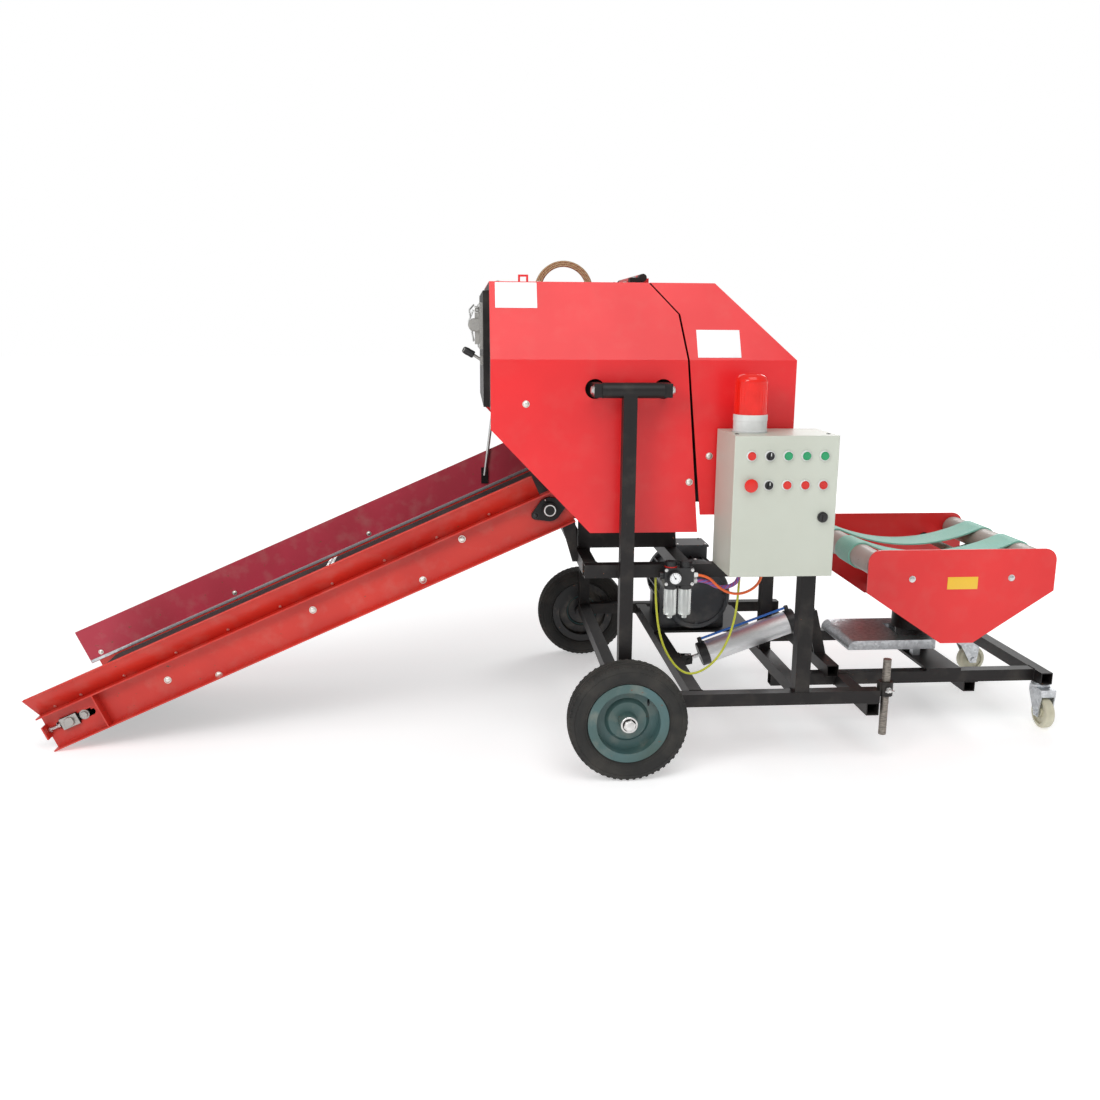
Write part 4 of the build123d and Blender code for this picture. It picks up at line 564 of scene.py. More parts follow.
class Finish(Enum):
    """Finishes of the machine, each made once."""

    HOOD_RED = Paint("hood_red_paint", (0.74, 0.014, 0.018), (0.66, 0.010, 0.013), 0.33, 0.04, 0.0, 0.12)
    TABLE_RED = Paint("table_red_paint", (0.76, 0.018, 0.018), (0.68, 0.012, 0.013), 0.33, 0.05, 0.0, 0.12)
    CONVEYOR_RED = Paint(
        "conveyor_red_paint", (0.60, 0.030, 0.016), (0.48, 0.020, 0.012), 0.38, 0.13, 0.03, 0.05
    )
    # red paint with a magenta tint that is a painted sheen of the sky on the board's inner face
    BOARD_RED_AND_SHEEN = Paint("board_red_paint_and_painted_sheen", (0.50, 0.030, 0.062), (0.38, 0.022, 0.042), 0.45, 0.18, 0.04, 0.05)
    FRAME_BLACK = Paint(
        "frame_black_paint", (0.012, 0.010, 0.010), (0.007, 0.006, 0.006), 0.42, 0.06, 0.03, 0.03, 0.3
    )
    MOTOR_DARK = Paint("motor_paint", (0.035, 0.040, 0.046), (0.020, 0.023, 0.027), 0.45, 0.15, 0.02)
    # the rim's inner side is painted black as shade
    RIM_TEAL = RimPaint(
        "rim_teal_paint", (0.070, 0.165, 0.180), (0.050, 0.095, 0.085), 0.42, 0.35, 0.05, 0.1
    )
    CABINET_GREY = Paint(
        "cabinet_powder_coat", (0.53, 0.56, 0.49), (0.49, 0.515, 0.445), 0.42, 0.03, 0.0, 0.1
    )
    PLATE_WHITE = Paint("blank_plate_white", (0.86, 0.87, 0.88), (0.80, 0.81, 0.82), 0.4, 0.02, 0.0, 0.2)
    PLATE_YELLOW = Paint("blank_plate_yellow", (0.85, 0.52, 0.03), (0.78, 0.45, 0.02), 0.4, 0.03, 0.0, 0.2)
    ROLLER_GREY = Paint("roller_grey_paint", (0.46, 0.42, 0.38), (0.32, 0.28, 0.24), 0.45, 0.35, 0.05, 0.1)
    ZINC = Steel("galvanised_zinc", (0.66, 0.68, 0.70), (0.48, 0.50, 0.52), 0.36, 130.0)
    BRIGHT = Steel("bright_steel", (0.74, 0.74, 0.73), (0.56, 0.56, 0.55), 0.26, grain=(1, 14, 1))
    ROLLER_STEEL = Steel("roller_steel", (0.50, 0.49, 0.47), (0.34, 0.33, 0.31), 0.36, grain=(12, 1, 12))
    PALE_ZINC = Steel("pale_zinc_plating", (0.82, 0.81, 0.76), (0.66, 0.64, 0.58), 0.34)
    RUSTY = Steel(
        "weathered_steel", (0.36, 0.33, 0.29), (0.17, 0.155, 0.14), 0.5, grain=(1, 1, 4), rust=0.12
    )
    ALUMINIUM = Steel("cylinder_aluminium", (0.84, 0.85, 0.86), (0.74, 0.75, 0.76), 0.42, grain=(1, 9, 9))
    TYRE = Rubber("black_tyre_rubber", (0.013, 0.013, 0.012), (0.050, 0.046, 0.040), 0.78)
    BELT_BLACK = Rubber("conveyor_belting", (0.020, 0.020, 0.021), (0.055, 0.050, 0.045), 0.62, 160.0)
    BELT_GREEN = Rubber("table_belting", (0.19, 0.51, 0.41), (0.30, 0.59, 0.48), 0.5, 190.0)
    CASTER = Rubber("caster_wheel_tread", (0.62, 0.60, 0.46), (0.40, 0.38, 0.28), 0.45)
    BLACK = Plastic("black_plastic", (0.014, 0.014, 0.015), 0.34)
    GREY = Plastic("grey_plastic", (0.62, 0.63, 0.63), 0.4)
    RED = Plastic("red_button", (0.62, 0.02, 0.015), 0.22)
    STOP_RED = Plastic("stop_button_red", (0.70, 0.02, 0.012), 0.18)
    GREEN = Plastic("green_button", (0.02, 0.32, 0.13), 0.22)
    WHITE = Plastic("white_plastic", (0.68, 0.69, 0.68), 0.3)
    # the lens has a weak painted glow that brightens its red
    LENS = Plastic("beacon_lens", (0.86, 0.025, 0.014), 0.12, 0.55, 0.14)
    BOWL = Plastic("clear_bowl", (0.86, 0.89, 0.87), 0.08, 0.62)
    BLUE = Plastic("blue_tube", (0.03, 0.17, 0.62), 0.25)
    ORANGE = Plastic("orange_sleeve", (0.74, 0.12, 0.020), 0.32)
    PURPLE = Twine("purple_strands", (0.06, 0.12, 0.46), (0.42, 0.03, 0.09), 12.0, 0.4)
    LIME = Plastic("yellow_green_sleeve", (0.50, 0.52, 0.03), 0.32)
    # the twine's dark colour between the strands is painted shade in the grooves
    SISAL = Twine("sisal_twine", (0.56, 0.42, 0.25), (0.26, 0.17, 0.08))

    def material(self) -> bpy.types.Material:
        """The material of this finish, made on its first use."""
        found = bpy.data.materials.get(self.value.name)
        return found if found else self.value.build()


class Workpiece:
    """Collects the shapes of one piece in one mesh, in metres of the shared frame."""

    def __init__(self) -> None:
        """Starts an empty piece."""
        self.mesh = bmesh.new()

    @staticmethod
    def axes(direction: Vector) -> tuple[Vector, Vector, Vector]:
        """Unit vectors across, up and along a direction.

        Args:
            direction: The way along.

        Returns:
            Three vectors at right angles.
        """
        along = direction.normalized()
        helper = Vector(UP) if abs(along.z) < 0.9 else Vector((1, 0, 0))
        across = helper.cross(along).normalized()
        return across, along.cross(across), along

    def skin(self, rings: Sequence[Sequence[bmesh.types.BMVert]]) -> Workpiece:
        """Lays faces from each ring to the next. A ring of one point is a pole.

        Args:
            rings: Rings of points in order.

        Returns:
            This piece.
        """
        for low, high in zip(rings, rings[1:]):
            steps = max(len(low), len(high))
            for step in range(steps):
                after = (step + 1) % steps
                corners = [low[step % len(low)], low[after % len(low)]]
                corners += [high[after % len(high)], high[step % len(high)]]
                self.mesh.faces.new(list(dict.fromkeys(corners)))
        return self

    def lathe(self, profile: Profile, centre: Point, axis: Point, steps: int = 40) -> Workpiece:
        """Turns a profile about an axis. A profile that starts off the axis is closed to a ring.

        Args:
            profile: Points (radius, along) in millimetres.
            centre: Where along is 0, from the axle's middle.
            axis: Direction of the axis.
            steps: Facets round the axis.

        Returns:
            This piece.
        """
        across, up, along = self.axes(Vector(axis))
        turns = [2 * math.pi * step / steps for step in range(steps)]
        ways = [across * math.cos(turn) + up * math.sin(turn) for turn in turns]
        rings = []
        for radius, distance in profile:
            middle = place(*centre) + along * distance * MM
            spots = [middle + way * radius * MM for way in ways] if radius else [middle]
            rings.append([self.mesh.verts.new(spot) for spot in spots])
        if profile[0][0]:
            rings.append(rings[0])
        return self.skin(rings)

    def bar(
        self, start: Point, end: Point, diameter: float, steps: int = 24, chamfer: float = 0.8
    ) -> Workpiece:
        """Round bar with chamfered ends.

        Args:
            start: Middle of one end.
            end: Middle of the other end.
            diameter: Diameter in millimetres.
            steps: Facets round it.
            chamfer: Size of the end chamfers.

        Returns:
            This piece.
        """
        run = Vector(end) - Vector(start)
        radius, length = diameter / 2, run.length
        profile = [(0, 0), (radius - chamfer, 0), (radius, chamfer)]
        profile += [(radius, length - chamfer), (radius - chamfer, length), (0, length)]
        return self.lathe(profile, start, tuple(run), steps)

    def prism(self, outline: Sequence[Point], depth: Point, bevel: float = 0.0) -> Workpiece:
        """Flat outline pushed along a vector.

        Args:
            outline: Corners in order, from the axle's middle.
            depth: The push, in millimetres.
            bevel: Width of the rounded edges.

        Returns:
            This piece.
        """
        push = Vector(depth) * MM
        low = [self.mesh.verts.new(place(*corner)) for corner in outline]
        high = [self.mesh.verts.new(vert.co + push) for vert in low]
        faces = [self.mesh.faces.new(list(reversed(low))), self.mesh.faces.new(high)]
        for index, vert in enumerate(low):
            after = (index + 1) % len(low)
            faces.append(self.mesh.faces.new([vert, low[after], high[after], high[index]]))
        if bevel > 0:
            edges = list(dict.fromkeys(edge for face in faces for edge in face.edges))
            settings = {"segments": 2, "profile": 0.7, "affect": "EDGES", "clamp_overlap": True}
            bmesh.ops.bevel(self.mesh, geom=edges, offset=bevel * MM, **settings)
        return self

    def box(self, low: Point, high: Point, bevel: float = 1.0) -> Workpiece:
        """Block with rounded edges between two opposite corners."""
        corners = [(x, y, low[2]) for x, y in rectangle(low[:2], high[:2])]
        return self.prism(corners, (0, 0, high[2] - low[2]), bevel)

    def spring(self, start: Point, end: Point, radius: float, wire: float, turns: float) -> Workpiece:
        """Coil spring of round wire.

        Args:
            start: Middle of one end.
            end: Middle of the other end.
            radius: Radius of the coil.
            wire: Diameter of the wire.
            turns: Number of turns.

        Returns:
            This piece.
        """
        across, up, _ = self.axes(Vector(end) - Vector(start))
        low, high = place(*start), place(*end)
        side = (high - low).normalized()
        steps, facets = int(turns * 18), 8
        angles = [2 * math.pi * index / facets for index in range(facets)]
        rings = []
        for step in range(steps + 1):
            turn = 2 * math.pi * turns * step / steps
            out = across * math.cos(turn) + up * math.sin(turn)
            middle = low.lerp(high, step / steps) + out * radius * MM
            ways = [out * math.cos(angle) + side * math.sin(angle) for angle in angles]
            rings.append([self.mesh.verts.new(middle + way * wire / 2 * MM) for way in ways])
        self.skin(rings)
        self.mesh.faces.new(list(reversed(rings[0])))
        self.mesh.faces.new(rings[-1])
        return self

    def hexagon(self, centre: Point, axis: Point, radius: float, height: float) -> Workpiece:
        """Hexagon nut with rounded edges.

        Args:
            centre: Middle of its lower face.
            axis: Way that it faces.
            radius: Radius of its corners.
            height: Height.

        Returns:
            This piece.
        """
        across, up, along = self.axes(Vector(axis))
        corners = []
        for degrees in range(15, 375, 60):
            angle = math.radians(degrees)
            spot = Vector(centre) + (across * math.cos(angle) + up * math.sin(angle)) * radius
            corners.append(tuple(spot))
        return self.prism(corners, tuple(along * height), min(1.0, 0.12 * height))

    def finish(
        self,
        name: str,
        finish: Finish,
        body: Body = Body.FRAME,
        slot: str | None = None,
        replaces: Sequence[str] = (),
    ) -> bpy.types.Object:
        """slot: Material slot of the record, if one fits. Not used.
            replaces: CAD nodes that it stands for.

        Returns:
            The new object.
        """
        bmesh.ops.recalc_face_normals(self.mesh, faces=self.mesh.faces[:])
        data = bpy.data.meshes.new(name)
        self.mesh.to_mesh(data)
        self.mesh.free()
        return settle(name, data, finish, body, replaces)


def settle(
    name: str,
    data: bpy.types.Mesh,
    finish: Finish,
    body: Body,
    replaces: Sequence[str] = (),
) -> bpy.types.Object:
    """Makes an object of a finished mesh, dresses it and lets it ride.

    Args:
        name: Name of the piece.
        data: Its mesh, in metres of the shared frame.
        finish: Its finish.
        body: Body that it moves with.
        replaces: CAD nodes that it stands for.

    Returns:
        The new object.
    """
    for polygon in data.polygons:
        polygon.use_smooth = True
    data.set_sharp_from_angle(angle=math.radians(34))
    data.materials.clear()
    data.materials.append(finish.material())
    piece = linked(name, data)
    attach(piece, body.value)
    if replaces:
        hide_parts(*replaces)
    LOG.info("%s on %s: %d faces", name, body.value, len(data.polygons))
    return piece


class Pattern(Graph):
    """Geometry Nodes tree with named inputs that ends in Realize Instances and Set Material."""

    def __init__(self, name: str, finish: Finish) -> None:
        """Starts a tree with its geometry sockets.

        Args:
            name: What the tree repeats.
            finish: Finish of what it makes.
        """
        super().__init__(bpy.data.node_groups.new(f"{name}_{finish.name.lower()}", "GeometryNodeTree"))
        for way in ("INPUT", "OUTPUT"):
            self.tree.interface.new_socket("Geometry", in_out=way, socket_type="NodeSocketGeometry")
        self.entry = self.node("NodeGroupInput")
        self.finish = finish
        self.identifiers: dict[str, str] = {}

    def value(self, name: str, kind: str = "Float") -> Signal:
        """Adds a named input.

        Args:
            name: Name of the input.
            kind: Type of its value.

        Returns:
            Its value inside the tree.
        """
        made = self.tree.interface.new_socket(name, in_out="INPUT", socket_type=f"NodeSocket{kind}")
        self.identifiers[name] = made.identifier
        return Signal(self, self.entry.outputs[name])

    def close(self, instances: Signal) -> None:
        """Realises the instances, gives them their material and ends the tree.

        Args:
            instances: Geometry to end with.
        """
        real = self.signal("GeometryNodeRealizeInstances", None, {0: instances})
        sockets = {"Geometry": real, "Material": self.finish.material()}
        self.node("NodeGroupOutput", None, {0: self.signal("GeometryNodeSetMaterial", None, sockets)})

    def lay(
        self, name: str, seed: bpy.types.Mesh, values: dict[str, object], body: Body
    ) -> bpy.types.Object:
        """Runs the tree on a mesh and makes a piece of the result.

        Args:
            name: Name of the piece.
            seed: Mesh that the tree starts from.
            values: Value of each named input.
            body: Body that the piece rides on.

        Returns:
            The piece.
        """
        carrier = linked("carrier", seed)
        modifier = carrier.modifiers.new("pattern", "NODES")
        modifier.node_group = self.tree
        for key, value in values.items():
            modifier[self.identifiers[key]] = value
        return settle(name, plain_mesh(carrier), self.finish, body)


class Head(str, Enum):
    """Heads of the screws."""

    HEXAGON = "hexagon"
    DOME = "dome"


class ScrewField(Pattern):
    """Screws on given points."""

    def __init__(self, finish: Finish, head: Head) -> None:
        """Builds the tree.

        Args:
            finish: Finish of the screws.
            head: Shape of their heads.
        """
        super().__init__(f"{head.value}_screws", finish)
        names = ("Head Radius", "Head Height", "Washer Radius")
        radius, height, washer = (self.value(name) for name in names)
        shapes = self.hexagon(radius, height) if head is Head.HEXAGON else self.dome(radius, height)
        shapes.append(self.drum("Cylinder", {"Vertices": 24, "Radius": washer, "Depth": 0.003}))
        screw = self.signal("GeometryNodeJoinGeometry", None, {0: shapes})
        settings = {"data_type": "FLOAT_VECTOR"}
        facing = self.signal("GeometryNodeInputNamedAttribute", settings, {"Name": "facing"})
        turned = self.signal("FunctionNodeAlignRotationToVector", {"axis": "Z"}, {"Vector": facing})
        sockets = {"Points": self.entry.outputs["Geometry"], "Instance": screw, "Rotation": turned}
        self.close(self.signal("GeometryNodeInstanceOnPoints", None, sockets))

    def drum(self, shape: str, sizes: dict[str, object]) -> Signal:
        """Round or faceted block with flat ends."""
        return self.signal(f"GeometryNodeMesh{shape}", {"fill_type": "NGON"}, sizes)

    def raised(self, shape: Signal, height: Signal) -> Signal:
        """Shape lifted off the surface."""
        lift = self.signal("ShaderNodeCombineXYZ", None, {2: height})
        return self.signal("GeometryNodeTransform", None, {"Geometry": shape, "Translation": lift})

    def hexagon(self, radius: Signal, height: Signal) -> list[Signal]:
        """Hexagon head with a chamfered crown.

        Args:
            radius: Radius of the head.
            height: Height of the head.

        Returns:
            Its shapes.
        """
        head = self.drum("Cylinder", {"Vertices": 6, "Radius": radius, "Depth": height})
        sizes = {
            "Vertices": 12,
            "Radius Top": radius * 0.55,
            "Radius Bottom": radius * 0.84,
            "Depth": height * 0.22,
        }
        return [self.raised(head, height * 0.5), self.raised(self.drum("Cone", sizes), height)]

    def dome(self, radius: Signal, height: Signal) -> list[Signal]:
        """Low round head.

        Args:
            radius: Radius of the head.
            height: Height of the head.

        Returns:
            Its shapes.
        """
        sizes = {"Segments": 20, "Rings": 12, "Radius": radius}
        ball = self.signal("GeometryNodeMeshUVSphere", None, sizes)
        flatness = self.maths("DIVIDE", height, radius)
        scale = self.signal("ShaderNodeCombineXYZ", None, {0: 1.0, 1: 1.0, 2: flatness})
        return [self.signal("GeometryNodeTransform", None, {"Geometry": ball, "Scale": scale})]

    def fit(
        self,
        name: str,
        spots: Sequence[tuple[Point, Point]],
        body: Body,
        head: float,
        height: float,
        washer: float,
    ) -> bpy.types.Object:
        """Sets one screw at each spot.

        Args:
            name: Name of the piece.
            spots: Pairs of a point and the way that the screw faces.
            body: Body that they ride on.
            head: Radius of the head.
            height: Height of the head.
            washer: Radius of the washer.

        Returns:
            The piece.
        """
        seed = bpy.data.meshes.new(f"{name}_points")
        seed.from_pydata([place(*point) for point, _ in spots], [], [])
        facing = seed.attributes.new("facing", "FLOAT_VECTOR", "POINT")
        for item, (_, way) in zip(facing.data, spots):
            item.vector = way
        values = {"Head Radius": head * MM, "Head Height": height * MM, "Washer Radius": washer * MM}
        return self.lay(name, seed, values, body)


class RingPattern(Pattern):
    """Blocks repeated round an axis, such as tread lugs, knob ribs and lens ribs."""

    def __init__(self, finish: Finish) -> None:
        """Builds the tree.

        Args:
            finish: Finish of the blocks.
        """
        super().__init__("ring", finish)
        count, radius = self.value("Count", "Int"), self.value("Radius")
        size, spin = self.value("Block Size", "Vector"), self.value("Turn", "Rotation")
        centre = self.value("Centre", "Vector")
        ring = self.signal("GeometryNodeMeshCircle", None, {"Vertices": count, "Radius": radius})
        block = self.signal("GeometryNodeMeshCube", None, {"Size": size})
        settings = {"axis": "X", "pivot_axis": "Z"}
        sockets = {"Vector": self.signal("GeometryNodeInputPosition")}
        outwards = self.signal("FunctionNodeAlignRotationToVector", settings, sockets)
        sockets = {"Points": ring, "Instance": block, "Rotation": outwards}
        spread = self.signal("GeometryNodeInstanceOnPoints", None, sockets)
        sockets = {"Geometry": spread, "Rotation": spin, "Translation": centre}
        self.close(self.signal("GeometryNodeTransform", None, sockets))

    def fit(
        self,
        name: str,
        body: Body,
        count: int,
        radius: float,
        block: Point,
        centre: Point,
        axis: Point = UP,
    ) -> bpy.types.Object:
        """Sets the blocks round an axis.

        Args:
            name: Name of the piece.
            body: Body that they ride on.
            count: Number of blocks.
            radius: Radius of the blocks' middles.
            block: Size of a block outwards, round and along the axis.
            centre: Middle of the ring, from the axle's middle.
            axis: Direction of the axis.

        Returns:
            The piece.
        """
        values = {
            "Count": count,
            "Radius": radius * MM,
            "Block Size": tuple(part * MM for part in block),
            "Turn": tuple(Vector(UP).rotation_difference(Vector(axis)).to_euler()),
            "Centre": tuple(place(*centre)),
        }
        return self.lay(name, bpy.data.meshes.new(f"{name}_seed"), values, body)


class WeldSeam(Pattern):
    """Row of overlapping weld beads along edges."""

    def __init__(self, finish: Finish) -> None:
        """Builds the tree.

        Args:
            finish: Finish of the beads.
        """
        super().__init__("weld", finish)
        step, radius = self.value("Step"), self.value("Bead Radius")
        path = self.signal("GeometryNodeMeshToCurve", None, {"Mesh": self.entry.outputs["Geometry"]})
        sockets = {"Curve": path, "Length": step}
        spaced = self.signal("GeometryNodeResampleCurve", {"mode": "LENGTH"}, sockets)
        bead = self.signal("GeometryNodeMeshIcoSphere", None, {"Radius": radius, "Subdivisions": 2})
        sockets = {"Points": spaced, "Instance": bead}
        self.close(self.signal("GeometryNodeInstanceOnPoints", None, sockets))

    def fit(
        self, name: str, loops: Sequence[Sequence[Point]], body: Body, radius: float
    ) -> bpy.types.Object:
        """Lays beads round closed loops.

        Args:
            name: Name of the piece.
            loops: Corners of each loop, from the axle's middle.
            body: Body that the beads ride on.
            radius: Radius of a bead.

        Returns:
            The piece.
        """
        points: list[Vector] = []
        edges: list[tuple[int, int]] = []
        for loop in loops:
            first, count = len(points), len(loop)
            points += [place(*corner) for corner in loop]
            edges += [(first + index, first + (index + 1) % count) for index in range(count)]
        seed = bpy.data.meshes.new(f"{name}_path")
        seed.from_pydata(points, edges, [])
        return self.lay(name, seed, {"Step": 1.25 * radius * MM, "Bead Radius": radius * MM}, body)


def square_loop(centre: Point, normal: str, size: float) -> list[Point]:
    """Corners of a square tube's end, for a weld.

    Args:
        centre: Middle of the end.
        normal: Axis that the tube runs along.
        size: Side of the tube.

    Returns:
        The four corners.
    """
    half, corners = size / 2, []
    for shift in rectangle((-half, -half), (half, half)):
        shift = list(shift)
        shift.insert("XYZ".index(normal), 0.0)
        corners.append(tuple(Vector(centre) + Vector(shift)))
    return corners


@dataclass
class RoadWheel:
    """Pneumatic road wheel with its tread, valve and axle nut.

    Attributes:
        side: -1 for the near wheel and 1 for the far one.
        track: Distance between the wheels' middles.
        diameter: Outer diameter of the tyre.
        width: Width of the tyre.
        bead: Radius of the bead seat.
        flange: Radius of the rim's flange.
        hub: Distance from the wheel's middle to the hub's outer face.
        lugs: Tread lugs in a row.
    """

    side: int
    track: float = 1241.0
    diameter: float = 360.0
    width: float = 88.0
    bead: float = 101.8
    flange: float = 122.0
    hub: float = 42.0
    lugs: int = 56

    @property
    def name(self) -> str:
        """Name of the wheel's side."""
        return "near" if self.side < 0 else "far"

    @property
    def body(self) -> Body:
        """Body that turns."""
        return Body.NEAR_WHEEL if self.side < 0 else Body.FAR_WHEEL

    @property
    def centre(self) -> Point:
        """Middle of the wheel."""
        return (0.0, self.side * self.track / 2, self.diameter / 2)

    def section(self) -> list[tuple[float, float]]:
        """Closed section of the tyre with its ribs and grooves.

        Returns:
            Points (radius, across).
        """
        crown = self.diameter / 2
        half = self.width / 2
        side = [
            (self.bead, 28.5),
            (self.flange, 28.5),
            (self.flange + 2, 36),
            (self.flange + 5, 40),
            (self.flange + 8, 39.4),
            (self.flange + 11, 42),
            (crown - 42, half - 1),
            (crown - 32, half),
            (crown - 22, half - 1.5),
            (crown - 20, half - 3.2),
            (crown - 17, half - 2.4),
            (crown - 10, half - 6),
            (crown - 5, half - 11),
            (crown - 1.6, half - 17),
            (crown - 1, 21),
            (crown - 5, 19.5),
            (crown - 5, 15.5),
            (crown - 0.4, 14),
            (crown, 5),
            (crown - 4.5, 3.6),
        ]
        mirrored = [(radius, -across) for radius, across in reversed(side)]
        return side + mirrored

    def build(self, pattern: RingPattern) -> None:
        """Makes the tyre, its tread lugs, the valve and the axle nut.

        Args:
            pattern: Pattern that sets the tread lugs.
        """
        name, body, out = self.name, self.body, self.side
        tyre = Workpiece().lathe(self.section(), self.centre, FAR, 96)
        tyre.finish(f"{name}_tyre_dressed", Finish.TYRE, body, "tyre_rubber", [f"{name}_tyre"])
        x, y, z = self.centre
        crown = self.diameter / 2
        block = (11.0, 8.5, 13.0)
        for across in (-30.0, 30.0):
            row = f"{name}_shoulder_lugs_{'in' if across * out < 0 else 'out'}"
            pattern.fit(row, body, self.lugs, crown - 8.5, block, (x, y + across, z), FAR)
        block = (6.4, 7.0, 9.0)
        pattern.fit(f"{name}_middle_lugs", body, self.lugs, crown - 4.0, block, (x, y + 9.5, z), FAR)
        valve = Workpiece()
        valve.bar((62, y + out * 4, z + 62), (58, y + out * 30, z + 58), 7.5, 16)
        valve.bar((58, y + out * 30, z + 58), (57, y + out * 37, z + 57), 5, 12)
        valve.finish(f"{name}_valve", Finish.BLACK, body)
        face, way = self.track / 2 + self.hub, (0, out, 0)
        nut = Workpiece().hexagon((0, out * (face + 5), z), way, 18.5, 8.4)
        washer = [(0, 0), (25, 0), (25, 2.4), (24, 3.2), (0, 3.2)]
        end = [(0, 0), (13, 0), (13, 0.5), (12.4, 1.0), (0, 1.0)]
        for profile, lift in ((washer, 1.6), (end, 13.2)):
            nut.lathe(profile, (0, out * (face + lift), z), way)
        nut.finish(f"{name}_axle_nut", Finish.BRIGHT, Body.FRAME, "bare_steel")


class Lay(str, Enum):
    """How a lead lies."""

    HANGING = "hanging"
    COILED = "coiled"


@dataclass
class Lead:
    """Free lead, hose or twine on one smooth line.

    Attributes:
        name: Name of the piece.
        node: CAD node that it stands for.
        route: Points of its line, from the axle's middle.
        diameter: Diameter in millimetres.
        finish: Its finish.
        slot: Material slot of the record. Not used.
        stiffness: limp, medium or stiff. Not used.
        lay: How it lies. Not used.
        far_end: What its far end is. Not used.
    """

    name: str
    node: str
    route: Sequence[Point]
    diameter: float
    finish: Finish
    slot: str
    stiffness: str = "medium"
    lay: Lay = Lay.HANGING
    far_end: str = "object"

    def line(self, bevel: float) -> bpy.types.Curve:
        """Curve of the route.

        Args:
            bevel: Radius of the round section in metres, or 0 for the bare line.

        Returns:
            The curve.
        """
        curve = bpy.data.curves.new(self.name, "CURVE")
        curve.dimensions = "3D"
        spline = curve.splines.new("NURBS")
        spline.points.add(len(self.route) - 1)
        for point, spot in zip(spline.points, self.route):
            point.co = (*place(*spot), 1.0)
        spline.order_u = 3
        spline.use_endpoint_u = True
        spline.resolution_u = 10
        curve.bevel_depth = bevel
        curve.bevel_resolution = 5
        curve.use_fill_caps = True
        return curve

    def points(self) -> list[Vector]:
        """Points read from the smooth line."""
        return [vert.co.copy() for vert in plain_mesh(linked("line", self.line(0.0))).vertices]

    def build(self) -> bpy.types.Object:
        """Returns:
            The curve object.
        """
        spots = self.points()
        piece = linked(self.name, self.line(self.diameter / 2 * MM))
        piece.data.materials.append(self.finish.material())
        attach(piece, Body.FRAME.value)
        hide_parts(self.node)
        tuple(place(*self.route[0]))
        self.diameter * MM
        return piece


@dataclass
class TwineCoil:
    """Coil of baling twine that stands in the slot of the roof.

    Attributes:
        centre: Middle of the coil.
        inner: Radius of the innermost turn.
        outer: Radius of the outermost turn.
        diameter: Diameter of the twine.
        turns: Turns of each layer.
        layers: Layers side by side.
    """

    centre: Point = (-115.0, 300.0, 1449.0)
    inner: float = 84.5
    outer: float = 105.5
    diameter: float = 7.4
    turns: int = 3
    layers: int = 3

    def route(self) -> list[Point]:
        """Line that winds outwards and inwards by turns, one layer beside the other.

        Returns:
            Its points, from the axle's middle.
        """
        spots: list[Point] = []
        steps = 14
        x, y, z = self.centre
        total = self.turns * steps
        for layer in range(self.layers):
            for index in range(total + 1):
                share = index / total
                grow = share if layer % 2 == 0 else 1 - share
                radius = self.inner + (self.outer - self.inner) * grow
                angle = math.radians(-90) + 2 * math.pi * (index / steps + (layer * self.turns))
                sway = 0.5 * math.sin(3.1 * angle)
                across = (layer - (self.layers - 1) / 2) * 1.18 * self.diameter + sway
                spots.append((x + radius * math.cos(angle), y + across, z + radius * math.sin(angle)))
        return spots

    def build(self) -> None:
        """Makes the coil."""
        Lead(
            "twine_coil_dressed", "twine_coil", self.route(), self.diameter, Finish.SISAL, "twine",
            "limp", Lay.COILED, "bare",
        ).build()


@dataclass
class Fasteners:
    """Screw and weld patterns that the sub-assemblies share.

    Attributes:
        hexagon: Bright hexagon screws.
        dome: Plated round-headed screws.
        dark: Black round-headed screws.
        weld: Beads of the frame's welds.
    """

    hexagon: ScrewField
    dome: ScrewField
    dark: ScrewField
    weld: WeldSeam

    @classmethod
    def stock(cls) -> Fasteners:
        """One pattern of each kind.

        Returns:
            The stock.
        """
        return cls(
            ScrewField(Finish.BRIGHT, Head.HEXAGON),
            ScrewField(Finish.PALE_ZINC, Head.DOME),
            ScrewField(Finish.BLACK, Head.DOME),
            WeldSeam(Finish.FRAME_BLACK),
        )


@dataclass
class Assembly:
    """Sub-assembly that takes its screws and welds from the stock.

    Attributes:
        stock: Shared screw and weld patterns.
    """

    stock: Fasteners

    def build(self) -> None:
        """Makes the pieces."""
        raise NotImplementedError


